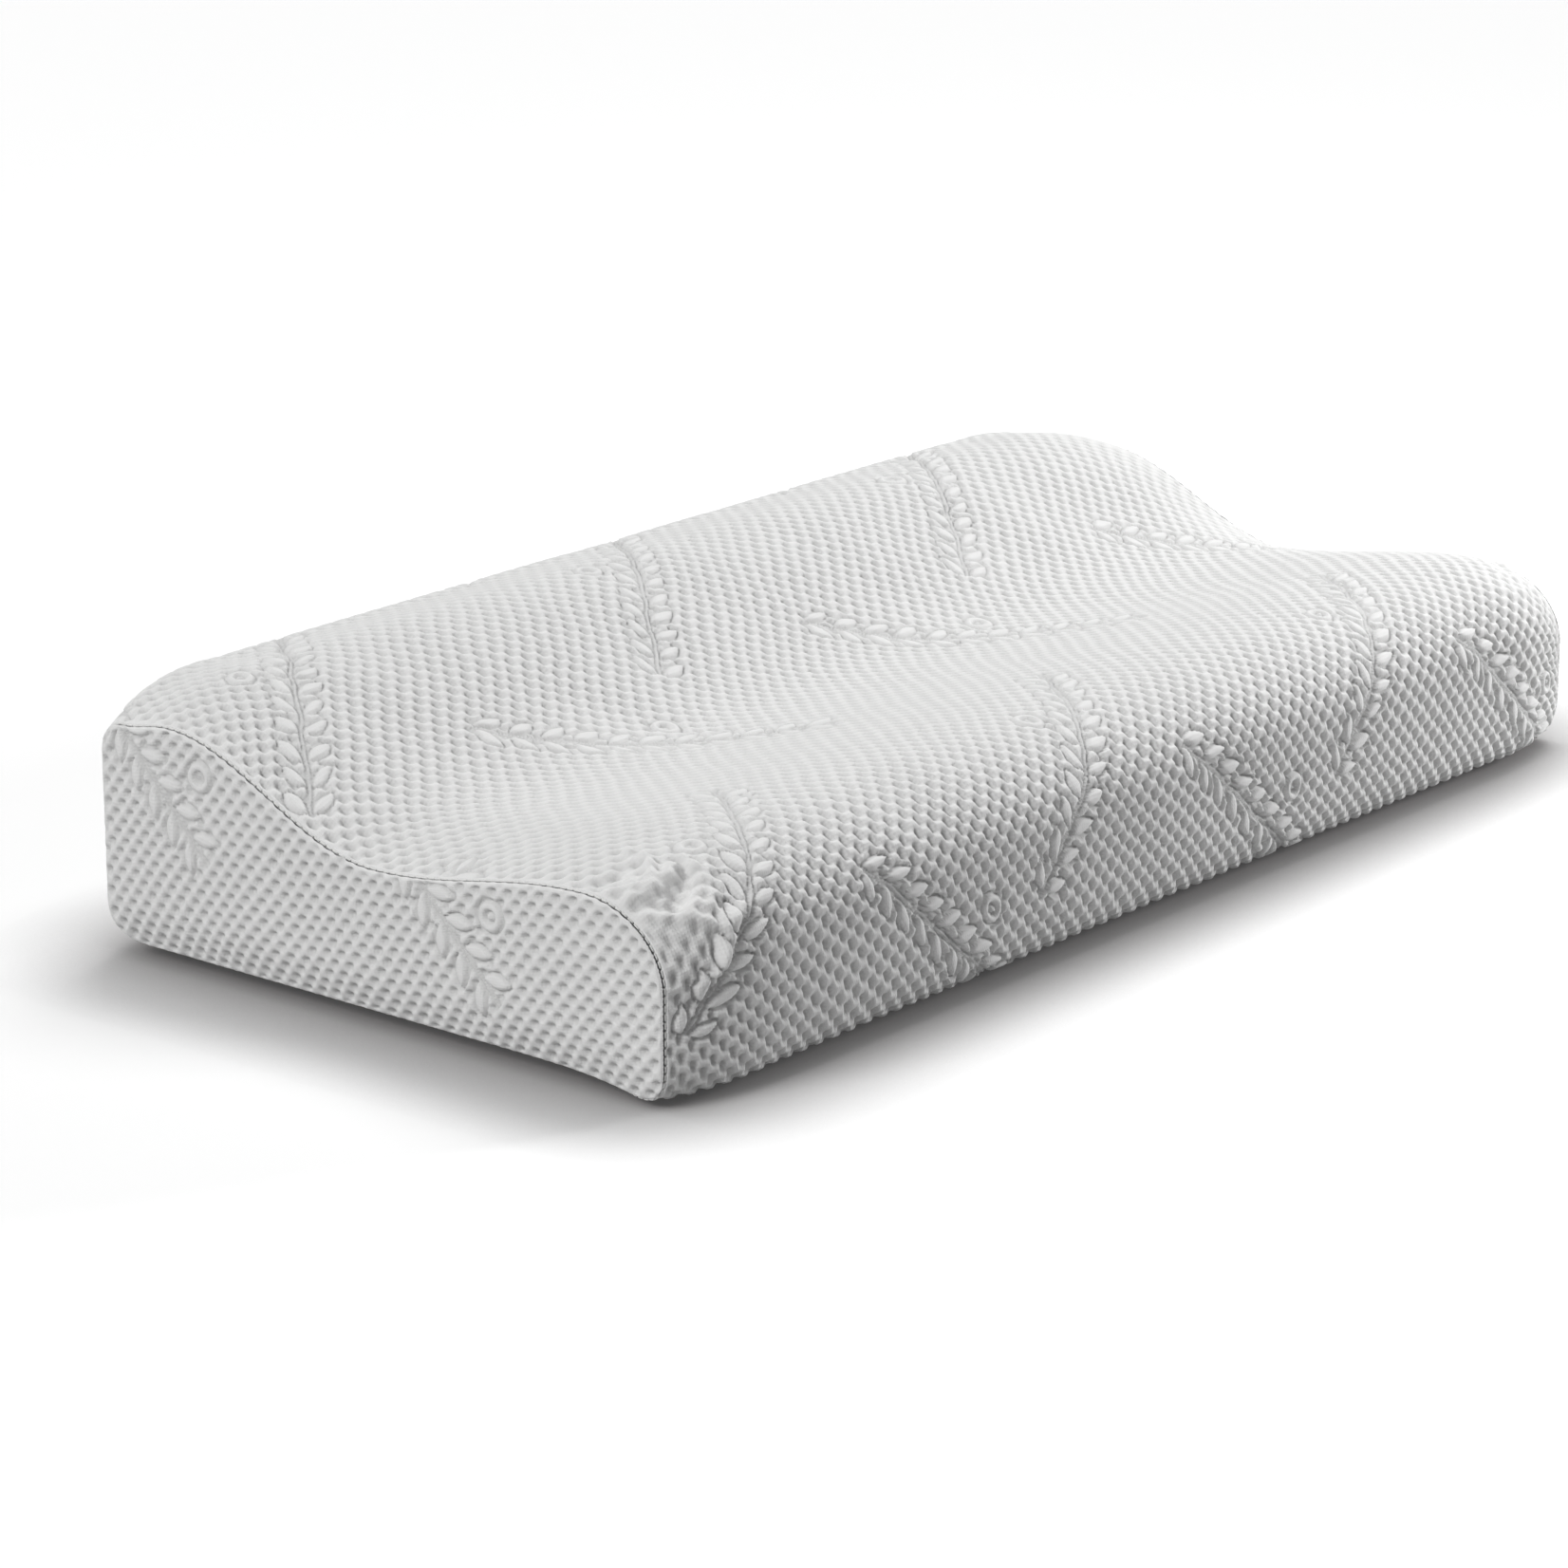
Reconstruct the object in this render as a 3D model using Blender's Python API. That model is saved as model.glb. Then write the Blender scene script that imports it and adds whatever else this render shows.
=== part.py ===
"""Contour bed pillow: a moulded foam core in a jersey liner, inside a zipped knit cover.

Metres, +Z up. +X runs along the pillow, -Y is the low neck lobe, +Y the high rear lobe.
The origin is the middle of the underside.
"""
import math

import bmesh
import bpy

# ---- Driving dimensions ---------------------------------------------------------------
LENGTH = 0.600  # over both end panels
DEPTH = 0.300  # front wall to rear wall
REAR_HEIGHT = 0.107  # crest of the high lobe
FRONT_HEIGHT = 0.085  # crest of the neck lobe
DIP_HEIGHT = 0.073  # lowest point between the lobes
SHOULDER_DROP = 0.003  # rear top corner below the high crest

REAR_CREST_IN = 0.038  # high crest, in from the rear wall
FRONT_CREST_IN = 0.041  # neck crest, in from the front wall
DIP_BACK = 0.150  # dip, back from the front wall
FRONT_ROUND_DROP = 0.031  # height of the neck lobe's round front
BOTTOM_RADIUS = 0.024  # front and rear bottom edges
SHOULDER_RADIUS = 0.012  # rear top corner

END_DRAW = 0.0116  # how far the wrap draws in at each end seam
END_REACH = 0.060  # length over which it draws in
END_DRAW_POWER = 2.2
DRAW_FULL_HEIGHT = 0.065  # the top draws down fully above this height
END_LIFT = 0.006  # how far the underside lifts at each end seam
LIFT_REACH = 0.028

COVER_THICKNESS = 0.003  # double knit with its filling yarn
LINER_THICKNESS = 0.001  # jersey
TOUCH_GAP = 0.0003  # between pieces that touch
SEAM_CHAMFER = 0.001  # turned edge that makes the seam's valley
THREAD_RADIUS = 0.0004

ZIP_HEIGHT = 0.040  # zip centre line above the floor
ZIP_FROM_END = 0.075  # each end of the coil, in from the end of the pillow
PLACKET_DEPTH = 0.0036  # hollow in the rear wall that the zip lies in
PLACKET_FLAT = 0.018
PLACKET_FLANK = 0.008
PLACKET_FADE = 0.025  # length over which the hollow runs out beyond the zip
TAPE_THICKNESS = 0.0005
TAPE_WIDTH = 0.012
COIL_HEIGHT = 0.0019  # one coil row, across the zip
COIL_DEPTH = 0.0018
SLIDER_LENGTH = 0.009
SLIDER_PLATE = 0.0008
SLIDER_WEB = 0.0006  # neck between the two plates
SLIDER_FLANGE = 0.0006
STOP_LENGTH = 0.003
PULL_LENGTH = 0.024
PULL_WIDTH = 0.0065
PULL_THICKNESS = 0.001
PULL_HOLE_LENGTH = 0.008
PULL_HOLE_WIDTH = 0.0025
BAIL_RADIUS = 0.0005
BAIL_POST = 0.0008
KNUCKLE_WALL = 0.0005
KNUCKLE_WIDTH = 0.0032
ZIP_STITCH_OUT = 0.0022  # stitch line, out from the lip edge
ZIP_THREAD_RADIUS = 0.0003

LABEL_WIDTH = 0.026  # along the pillow
LABEL_HEIGHT = 0.024
LABEL_THICKNESS = 0.0005
LABEL_ABOVE_PLACKET = 0.006
LABEL_SEAM_CLEARANCE = 0.0015

# ---- Fineness of the curves -----------------------------------------------------------
CORNER_STEPS = 4
ROUND_STEPS = 6
WAVE_STEPS = 7
SHOULDER_STEPS = 2
FLANK_STEPS = 2
STATION_SHARES = (0.17, 0.30, 0.47, 0.70)  # cross-sections within END_REACH, from the end
TUBE_SIDES = 6
PIN_SIDES = 16

# ---- Sizes that follow from them ------------------------------------------------------
HALF_LENGTH = LENGTH / 2
ZIP_LENGTH = LENGTH - 2 * ZIP_FROM_END
FRONT = -DEPTH / 2
REAR = DEPTH / 2
WEB_ROOM = SLIDER_WEB / 2 + TOUCH_GAP  # zip centre line to each coil row and tape
COIL_EDGE = WEB_ROOM + COIL_HEIGHT
FLANGE_EDGE = COIL_EDGE + TOUCH_GAP + SLIDER_FLANGE
LIP_EDGE = FLANGE_EDGE + TOUCH_GAP  # zip centre line to each lip of the cover
COVER_INSIDE = COVER_THICKNESS + TOUCH_GAP
LINER_OUTSIDE = COVER_INSIDE + TAPE_THICKNESS + TOUCH_GAP
LINER_INSIDE = LINER_OUTSIDE + LINER_THICKNESS
CORE_OUTSIDE = LINER_INSIDE + TOUCH_GAP
SLIDER_RELIEF = SLIDER_PLATE + 2 * TOUCH_GAP  # foam pressed back behind the slider
PLACKET_FLOOR = REAR - PLACKET_DEPTH
TAPE_FACE = PLACKET_FLOOR - COVER_INSIDE
COIL_BACK = TAPE_FACE + TOUCH_GAP
COIL_FRONT = COIL_BACK + COIL_DEPTH
SLIDER_FRONT = COIL_FRONT + TOUCH_GAP + SLIDER_PLATE
SLIDER_BACK = TAPE_FACE - TAPE_THICKNESS - TOUCH_GAP - SLIDER_PLATE
SLOT_END = ZIP_LENGTH / 2 + TOUCH_GAP + STOP_LENGTH + SLIDER_LENGTH / 2
SLIDER_START = -(ZIP_LENGTH - SLIDER_LENGTH) / 2
PLACKET_END = PULL_LENGTH + STOP_LENGTH - SLIDER_START
KNUCKLE_RADIUS = BAIL_RADIUS + TOUCH_GAP + KNUCKLE_WALL
PULL_AXIS = SLIDER_FRONT + TOUCH_GAP + KNUCKLE_RADIUS


def smooth(t):
    """0 to 1, level at both ends."""
    t = min(max(t, 0.0), 1.0)
    return (1 - math.cos(math.pi * t)) / 2


def placket(z, depth):
    """Depth, at height z, of the level-bottomed hollow that runs along the zip."""
    return depth * (1 - smooth((abs(z - ZIP_HEIGHT) - PLACKET_FLAT / 2) / PLACKET_FLANK))


def arc(centre, size, start, end, steps):
    """Points of a quarter round, without its first point."""
    turns = [math.radians(start + (end - start) * i / steps) for i in range(1, steps + 1)]
    return [(centre[0] + size[0] * math.cos(a), centre[1] + size[1] * math.sin(a)) for a in turns]


def wave(start, end, steps):
    """Points of a half wave from one crest or dip to the next, without its first point."""
    points = []
    for i in range(1, steps + 1):
        t = i / steps
        points.append((start[0] + (end[0] - start[0]) * t, start[1] + (end[1] - start[1]) * smooth(t)))
    return points


def rear_wall(side, depth):
    """Points of the rear wall from the zip's lip outwards, upwards if side is 1 and downwards if -1."""
    flat = PLACKET_FLAT / 2
    out = [LIP_EDGE, flat] + [flat + PLACKET_FLANK * i / FLANK_STEPS for i in range(1, FLANK_STEPS + 1)]
    heights = [ZIP_HEIGHT + side * distance for distance in out]
    return [(REAR - placket(z, depth), z) for z in heights]


def outline(depth):
    """(y, z) round the pillow from the zip's upper lip, over the top and back to the lower lip.

    depth is that of the placket.
    """
    shoulder = REAR_HEIGHT - SHOULDER_DROP
    rear_crest = (REAR - REAR_CREST_IN, REAR_HEIGHT)
    dip = (FRONT + DIP_BACK, DIP_HEIGHT)
    front_crest = (FRONT + FRONT_CREST_IN, FRONT_HEIGHT)
    corner = (REAR - SHOULDER_RADIUS, shoulder - SHOULDER_RADIUS)
    round_centre = (front_crest[0], FRONT_HEIGHT - FRONT_ROUND_DROP)
    lower = rear_wall(-1, depth)[::-1]
    rear_radius = min(BOTTOM_RADIUS, lower[0][1])
    points = rear_wall(1, depth) + [(REAR, corner[1])]
    points += arc(corner, [SHOULDER_RADIUS] * 2, 0, 90, CORNER_STEPS)
    points += wave((corner[0], shoulder), rear_crest, SHOULDER_STEPS)
    points += wave(rear_crest, dip, WAVE_STEPS)
    points += wave(dip, front_crest, WAVE_STEPS)
    points += arc(round_centre, (FRONT_CREST_IN, FRONT_ROUND_DROP), 90, 180, ROUND_STEPS)
    points.append((FRONT, BOTTOM_RADIUS))
    points += arc((FRONT + BOTTOM_RADIUS, BOTTOM_RADIUS), [BOTTOM_RADIUS] * 2, 180, 270, CORNER_STEPS)
    points.append((REAR - rear_radius, 0.0))
    points += arc((REAR - rear_radius, rear_radius), [rear_radius] * 2, 270, 360, CORNER_STEPS)
    straight = lower[0][1] - rear_radius > TOUCH_GAP
    return points + lower[0 if straight else 1 :]


def drawn_in(point, from_end):
    """The point as the wrap draws in towards an end seam, from_end metres in from the end."""
    y, z = point
    draw = END_DRAW * max(0.0, 1 - from_end / END_REACH) ** END_DRAW_POWER
    lift = END_LIFT * max(0.0, 1 - from_end / LIFT_REACH) ** 2
    share = smooth(z / DRAW_FULL_HEIGHT)
    return y * (1 - draw / REAR), z - draw * share + lift * (1 - share)


def offset(points, inset, relief=0.0):
    """The closed outline moved inwards, and further by relief behind the slider."""
    moved = []
    count = len(points)
    for i, (y, z) in enumerate(points):
        back = points[i - 1]
        ahead = points[(i + 1) % count]
        run = math.hypot(ahead[0] - back[0], ahead[1] - back[1])
        normal = ((ahead[1] - back[1]) / run, -(ahead[0] - back[0]) / run)
        depth = inset + (placket(z, relief) if y > 0 else 0.0)
        moved.append((y - normal[0] * depth, z - normal[1] * depth))
    return moved


def ring(x, inset, relief=0.0):
    """One cross-section of a layer: 3-D points of the drawn-in outline, inset from the cover's face."""
    depth = PLACKET_DEPTH * (1 - smooth((abs(x) - PLACKET_END) / PLACKET_FADE))
    points = [drawn_in(point, HALF_LENGTH - abs(x)) for point in outline(depth)]
    here = relief if abs(x) <= SLOT_END else 0.0
    return [(x, y, z) for y, z in offset(points, inset, here)]


def stations(end):
    """Places of the cross-sections along X, for a layer that stops at +-end."""
    inner = [HALF_LENGTH - END_REACH * share for share in STATION_SHARES] + [PLACKET_END, SLOT_END]
    half = [end] + sorted((x for x in inner if x < end - TOUCH_GAP), reverse=True)
    return [-x for x in half] + list(reversed(half))


def material(name, colour, roughness, metallic=0.0):
    made = bpy.data.materials.new(name)
    made.use_nodes = True
    shader = made.node_tree.nodes["Principled BSDF"]
    shader.inputs["Base Color"].default_value = (*colour, 1.0)
    shader.inputs["Roughness"].default_value = roughness
    shader.inputs["Metallic"].default_value = metallic
    return made


def add_object(name, bm, finish=None):
    """A new object from a bmesh whose faces are turned outwards."""
    bmesh.ops.recalc_face_normals(bm, faces=bm.faces)
    mesh = bpy.data.meshes.new(name)
    bm.to_mesh(mesh)
    bm.free()
    piece = bpy.data.objects.new(name, mesh)
    bpy.context.scene.collection.objects.link(piece)
    if finish:
        mesh.materials.append(finish)
        mesh.shade_smooth()
        mesh.set_sharp_from_angle(angle=math.radians(35))
    return piece


def skin(bm, rings, skip=()):
    """Two triangles for each cell between neighbouring rings; skip holds (ring, place) cells left open.

    Every layer splits its cells the same way, so nested layers stay parallel where they curve.
    """
    for i in range(len(rings) - 1):
        count = len(rings[i])
        for j in range(count):
            if (i, j) in skip:
                continue
            k = (j + 1) % count
            bm.faces.new((rings[i][j], rings[i][k], rings[i + 1][k]))
            bm.faces.new((rings[i][j], rings[i + 1][k], rings[i + 1][j]))


def add_rings(bm, sections):
    return [[bm.verts.new(point) for point in section] for section in sections]


def layer_sections(end, inset, relief=0.0, edge=0.0):
    """Cross-sections of one face of a layer; edge is the turned rim's extra inset."""
    places = stations(end)
    sections = [ring(x, inset, relief) for x in places]
    if edge:
        rims = [ring(x, inset + edge, relief) for x in (places[0], places[-1])]
        turned = [ring(x, inset, relief) for x in (places[0] + edge, places[-1] - edge)]
        sections = [rims[0], turned[0]] + sections[1:-1] + [turned[1], rims[1]]
    return sections


def add_wrap(name, end, outer, inner, finish, relief=0.0, edge=0.0, slot=False):
    """A tube of fabric along X, closed round the pillow, with a slot for the zip if asked."""
    bm = bmesh.new()
    outside = add_rings(bm, layer_sections(end, outer, relief, edge))
    inside = add_rings(bm, layer_sections(end, inner, relief, edge * 0.5))
    last = len(outside[0]) - 1
    middle = len(outside) // 2 - 1
    open_cells = {(middle, last)} if slot else set()
    skin(bm, outside, open_cells)
    skin(bm, inside, open_cells)
    for out, inn in ((outside[0], inside[0]), (outside[-1], inside[-1])):
        skin(bm, [out, inn])
    if slot:
        a, b = middle, middle + 1
        walls = [((a, last), (b, last)), ((a, 0), (b, 0)), ((a, last), (a, 0)), ((b, last), (b, 0))]
        for (i, j), (k, m) in walls:
            bm.faces.new((outside[i][j], outside[k][m], inside[k][m], inside[i][j]))
    return add_object(name, bm, finish)


def add_capped(name, sections, finish):
    """A closed solid through the sections, with flat caps."""
    bm = bmesh.new()
    rings = add_rings(bm, sections)
    skin(bm, rings)
    bm.faces.new(rings[0])
    bm.faces.new(rings[-1])
    return add_object(name, bm, finish)


def add_end_panel(name, side, outer_face, thickness, inset, finish, edge=0.0):
    """A flat panel across one end, its back edge turned in where it is sewn to the wrap."""
    back = outer_face - thickness
    rows = [(back, inset + edge), (outer_face, inset + edge)]
    if edge:
        rows[1:1] = [(back + edge, inset), (outer_face - edge, inset)]
    sections = []
    for x, moved in rows:
        section = ring(back - TOUCH_GAP, moved)
        sections.append([(side * x, y, z) for _, y, z in section])
    return add_capped(name, sections, finish)


def add_box(name, low, high, finish=None):
    bm = bmesh.new()
    bmesh.ops.create_cube(bm, size=1.0)
    for vertex in bm.verts:
        for axis in range(3):
            middle = (low[axis] + high[axis]) / 2
            vertex.co[axis] = middle + vertex.co[axis] * (high[axis] - low[axis])
    return add_object(name, bm, finish)


def add_thread(name, points, radius, finish, closed):
    """A thin round thread along the points."""
    curve = bpy.data.curves.new(name, "CURVE")
    curve.dimensions = "3D"
    curve.bevel_depth = radius
    curve.bevel_resolution = TUBE_SIDES // 2 - 2
    curve.use_fill_caps = not closed
    spline = curve.splines.new("POLY")
    spline.points.add(len(points) - 1)
    for place, point in zip(spline.points, points):
        place.co = (*point, 1.0)
    spline.use_cyclic_u = closed
    piece = bpy.data.objects.new(name, curve)
    bpy.context.scene.collection.objects.link(piece)
    curve.materials.append(finish)
    return piece


def combine(piece, other, operation):
    """Boolean of piece with a helper that stays out of the part."""
    modifier = piece.modifiers.new(other.name, "BOOLEAN")
    modifier.operation = operation
    modifier.solver = "EXACT"
    modifier.object = other
    other.hide_render = True
    other.display_type = "WIRE"


def extrude_outline(name, points, low, high, place, finish=None):
    """A closed outline carried from low to high; place turns (a, b, height) into x, y, z."""
    bm = bmesh.new()
    rings = add_rings(bm, [[place(a, b, height) for a, b in points] for height in (low, high)])
    skin(bm, rings)
    bm.faces.new(rings[0])
    bm.faces.new(rings[1])
    return add_object(name, bm, finish)


def circle(centre, radius, sides=PIN_SIDES):
    turns = [2 * math.pi * (i + 0.5) / sides for i in range(sides)]
    return [(centre[0] + radius * math.cos(a), centre[1] + radius * math.sin(a)) for a in turns]


def clear_scene():
    for old in list(bpy.data.objects):
        bpy.data.objects.remove(old, do_unlink=True)


def build_core():
    foam = material("memory_foam", (0.93, 0.90, 0.80), 0.9)
    end = HALF_LENGTH - LINER_INSIDE - TOUCH_GAP
    sections = layer_sections(end, CORE_OUTSIDE, SLIDER_RELIEF)
    add_capped("foam_core", sections, foam)


def build_liner():
    jersey = material("liner_jersey", (0.88, 0.88, 0.86), 0.95)
    wrap_end = HALF_LENGTH - LINER_INSIDE - TOUCH_GAP
    add_wrap("liner_wrap", wrap_end, LINER_OUTSIDE, LINER_INSIDE, jersey, relief=SLIDER_RELIEF)
    for side, name in ((-1, "liner_end_left"), (1, "liner_end_right")):
        add_end_panel(name, side, HALF_LENGTH - LINER_OUTSIDE, LINER_THICKNESS, LINER_OUTSIDE, jersey)


def build_cover():
    knit = material("cover_knit", (0.86, 0.86, 0.85), 0.85)
    wrap_end = HALF_LENGTH - COVER_INSIDE
    add_wrap("cover_wrap", wrap_end, 0.0, COVER_THICKNESS, knit, edge=SEAM_CHAMFER, slot=True)
    for side, name in ((-1, "cover_end_left"), (1, "cover_end_right")):
        add_end_panel(name, side, HALF_LENGTH, COVER_THICKNESS, 0.0, knit, edge=SEAM_CHAMFER)


def build_seam_threads():
    thread = material("seam_thread", (0.80, 0.80, 0.79), 0.7)
    seam = HALF_LENGTH - COVER_THICKNESS - TOUCH_GAP / 2
    sunk = SEAM_CHAMFER + TOUCH_GAP / 2 - math.sqrt(2) * (THREAD_RADIUS + TOUCH_GAP)
    for side, name in ((-1, "seam_thread_left"), (1, "seam_thread_right")):
        points = [(side * seam, y, z) for _, y, z in ring(seam, sunk)]
        add_thread(name, points, THREAD_RADIUS, thread, closed=True)


def build_zip_chain():
    tape = material("zip_tape", (0.85, 0.85, 0.84), 0.9)
    nylon = material("zip_coil", (0.83, 0.83, 0.82), 0.45)
    stop = material("zip_stop", (0.75, 0.75, 0.76), 0.35)
    thread = material("zip_thread", (0.82, 0.82, 0.81), 0.7)
    half = ZIP_LENGTH / 2
    stitch = LIP_EDGE + ZIP_STITCH_OUT
    stitch_y = PLACKET_FLOOR + TOUCH_GAP + ZIP_THREAD_RADIUS
    tape_end = SLOT_END + STOP_LENGTH
    for side, name in ((1, "upper"), (-1, "lower")):
        edges = sorted((ZIP_HEIGHT + side * WEB_ROOM, ZIP_HEIGHT + side * TAPE_WIDTH))
        add_box(
            "zip_tape_" + name,
            (-tape_end, TAPE_FACE - TAPE_THICKNESS, edges[0]),
            (tape_end, TAPE_FACE, edges[1]),
            tape,
        )
        edges = sorted((ZIP_HEIGHT + side * WEB_ROOM, ZIP_HEIGHT + side * COIL_EDGE))
        add_box("zip_coil_" + name, (-half, COIL_BACK, edges[0]), (half, COIL_FRONT, edges[1]), nylon)
        height = ZIP_HEIGHT + side * stitch
        points = [(-SLOT_END, stitch_y, height), (SLOT_END, stitch_y, height)]
        add_thread("zip_stitch_" + name, points, ZIP_THREAD_RADIUS, thread, closed=False)
    for side, name in ((-1, "zip_stop_closed"), (1, "zip_stop_open")):
        ends = sorted((side * (half + TOUCH_GAP), side * (half + TOUCH_GAP + STOP_LENGTH)))
        low = (ends[0], COIL_BACK, ZIP_HEIGHT - COIL_EDGE)
        add_box(name, low, (ends[1], COIL_FRONT, ZIP_HEIGHT + COIL_EDGE), stop)


def build_slider():
    metal = material("zip_slider", (0.72, 0.72, 0.74), 0.3, 1.0)
    top_back = SLIDER_FRONT - SLIDER_PLATE
    flange_back = COIL_BACK
    bottom_front = SLIDER_BACK + SLIDER_PLATE
    web = SLIDER_WEB / 2
    inner = FLANGE_EDGE - SLIDER_FLANGE
    bottom = COIL_EDGE + SLIDER_FLANGE
    # Half of the section as (height from the zip's centre line, y), then mirrored below it.
    half = [
        (FLANGE_EDGE, SLIDER_FRONT),
        (FLANGE_EDGE, flange_back),
        (inner, flange_back),
        (inner, top_back),
        (web, top_back),
        (web, bottom_front),
        (bottom, bottom_front),
        (bottom, SLIDER_BACK),
    ]
    section = half + [(-z, y) for z, y in reversed(half)]
    slider = extrude_outline(
        "zip_slider",
        section,
        SLIDER_START - SLIDER_LENGTH / 2,
        SLIDER_START + SLIDER_LENGTH / 2,
        lambda a, b, height: (height, b, ZIP_HEIGHT + a),
        metal,
    )
    post_in = KNUCKLE_WIDTH / 2 + TOUCH_GAP
    post_top = PULL_AXIS + BAIL_RADIUS + TOUCH_GAP
    sunk = SLIDER_PLATE / 2
    for side, name in ((1, "upper"), (-1, "lower")):
        edges = sorted((ZIP_HEIGHT + side * post_in, ZIP_HEIGHT + side * (post_in + BAIL_POST)))
        low = (SLIDER_START - BAIL_POST, SLIDER_FRONT - sunk, edges[0])
        high = (SLIDER_START + BAIL_POST, post_top, edges[1])
        combine(slider, add_box("bail_post_" + name, low, high), "UNION")
    reach = post_in + BAIL_POST / 2
    bail = extrude_outline(
        "bail_bar",
        circle((SLIDER_START, PULL_AXIS), BAIL_RADIUS),
        ZIP_HEIGHT - reach,
        ZIP_HEIGHT + reach,
        lambda a, b, height: (a, b, height),
    )
    combine(slider, bail, "UNION")


def build_pull():
    metal = material("zip_pull", (0.72, 0.72, 0.74), 0.3, 1.0)
    half_width = PULL_WIDTH / 2
    neck = KNUCKLE_WIDTH / 2
    clear = BAIL_POST + KNUCKLE_RADIUS + TOUCH_GAP
    tip = PULL_LENGTH
    bevel = half_width / 2
    # Outline of the flat tab as (distance from the hinge axis, height from its middle).
    tab = [
        (BAIL_RADIUS + TOUCH_GAP + KNUCKLE_WALL / 2, -neck),
        (clear, -neck),
        (clear + bevel, -half_width),
        (tip - bevel, -half_width),
        (tip, -bevel),
        (tip, bevel),
        (tip - bevel, half_width),
        (clear + bevel, half_width),
        (clear, neck),
        (BAIL_RADIUS + TOUCH_GAP + KNUCKLE_WALL / 2, neck),
    ]
    low = PULL_AXIS - PULL_THICKNESS / 2
    pull = extrude_outline(
        "zip_pull",
        tab,
        low,
        low + PULL_THICKNESS,
        lambda a, b, height: (SLIDER_START + a, height, ZIP_HEIGHT + b),
        metal,
    )
    knuckle = extrude_outline(
        "knuckle",
        circle((SLIDER_START, PULL_AXIS), KNUCKLE_RADIUS),
        ZIP_HEIGHT - neck,
        ZIP_HEIGHT + neck,
        lambda a, b, height: (a, b, height),
    )
    bore = extrude_outline(
        "knuckle_bore",
        circle((SLIDER_START, PULL_AXIS), BAIL_RADIUS + TOUCH_GAP),
        ZIP_HEIGHT - PULL_WIDTH,
        ZIP_HEIGHT + PULL_WIDTH,
        lambda a, b, height: (a, b, height),
    )
    hole_end = SLIDER_START + PULL_LENGTH - bevel
    hole = add_box(
        "grip_hole",
        (hole_end - PULL_HOLE_LENGTH, low - PULL_THICKNESS, ZIP_HEIGHT - PULL_HOLE_WIDTH / 2),
        (hole_end, low + 2 * PULL_THICKNESS, ZIP_HEIGHT + PULL_HOLE_WIDTH / 2),
    )
    combine(pull, knuckle, "UNION")
    combine(pull, bore, "DIFFERENCE")
    combine(pull, hole, "DIFFERENCE")


def build_label():
    """A blank care label sewn into the right-hand seam, lying on the rear wall."""
    satin = material("label_satin", (0.90, 0.90, 0.89), 0.5)
    start = HALF_LENGTH - COVER_INSIDE - LABEL_SEAM_CLEARANCE
    bottom = ZIP_HEIGHT + PLACKET_FLAT / 2 + PLACKET_FLANK + LABEL_ABOVE_PLACKET
    steps = 6
    sections = []
    for i in range(steps + 1):
        x = start - LABEL_WIDTH * i / steps
        face = drawn_in((REAR, bottom), HALF_LENGTH - x)[0] + 2 * TOUCH_GAP
        back, front = face, face + LABEL_THICKNESS
        top = bottom + LABEL_HEIGHT
        sections.append([(x, back, bottom), (x, front, bottom), (x, front, top), (x, back, top)])
    add_capped("care_label", sections, satin)


clear_scene()
build_core()
build_liner()
build_cover()
build_seam_threads()
build_zip_chain()
build_slider()
build_pull()
build_label()
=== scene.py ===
import math

import bpy
import numpy as np
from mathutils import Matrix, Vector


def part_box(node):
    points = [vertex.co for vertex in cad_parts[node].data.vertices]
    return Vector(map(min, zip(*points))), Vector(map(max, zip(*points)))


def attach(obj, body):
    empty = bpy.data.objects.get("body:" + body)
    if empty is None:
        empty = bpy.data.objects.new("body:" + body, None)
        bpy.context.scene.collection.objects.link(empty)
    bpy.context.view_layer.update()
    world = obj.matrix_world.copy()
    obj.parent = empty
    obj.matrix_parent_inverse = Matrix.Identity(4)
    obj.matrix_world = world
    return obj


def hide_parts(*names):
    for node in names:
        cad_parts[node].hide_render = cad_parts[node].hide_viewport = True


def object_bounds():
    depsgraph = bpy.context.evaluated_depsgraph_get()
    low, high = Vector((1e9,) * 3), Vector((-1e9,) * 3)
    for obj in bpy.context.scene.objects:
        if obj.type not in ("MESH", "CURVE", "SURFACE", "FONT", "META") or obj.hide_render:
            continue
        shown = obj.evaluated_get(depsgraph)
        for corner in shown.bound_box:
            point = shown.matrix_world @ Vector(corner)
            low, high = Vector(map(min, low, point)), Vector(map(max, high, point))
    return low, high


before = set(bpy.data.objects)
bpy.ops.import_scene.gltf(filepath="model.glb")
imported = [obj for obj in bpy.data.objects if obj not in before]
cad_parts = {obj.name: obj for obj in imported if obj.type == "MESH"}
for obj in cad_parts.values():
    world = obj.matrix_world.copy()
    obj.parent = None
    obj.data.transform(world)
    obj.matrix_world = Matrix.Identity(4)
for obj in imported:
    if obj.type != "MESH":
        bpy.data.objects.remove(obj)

cad_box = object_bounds()


# ---- Table top and light ---------------------------------------------------------------
# The pillow lies on a plain white table top. Broad soft lights stand over its left end and
# behind its right end, a small one low beside its right end, and white surroundings fill in.
# A painted shadow darkens the table's colour close round the pillow.
CAMERA_PLACE = (-1.60584, -1.25811, 0.64577)
CAMERA_HEADING = math.radians(39.17)  # from +X towards +Y
CAMERA_TILT = math.radians(16.96)  # below level
TABLE_HALF = 14.0
TABLE_DROP = 0.0004  # below the underside, so that the two faces don't mix
TABLE_GLOW = 0.05
PAINTED_SHADOW_REACH = 0.064  # how far the painted shadow reaches over the table from the pillow
# how fast the painted shadow fades away from the pillow
PAINTED_SHADOW_POWER = 1.9
SURROUND_STRENGTH = 0.21

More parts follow.
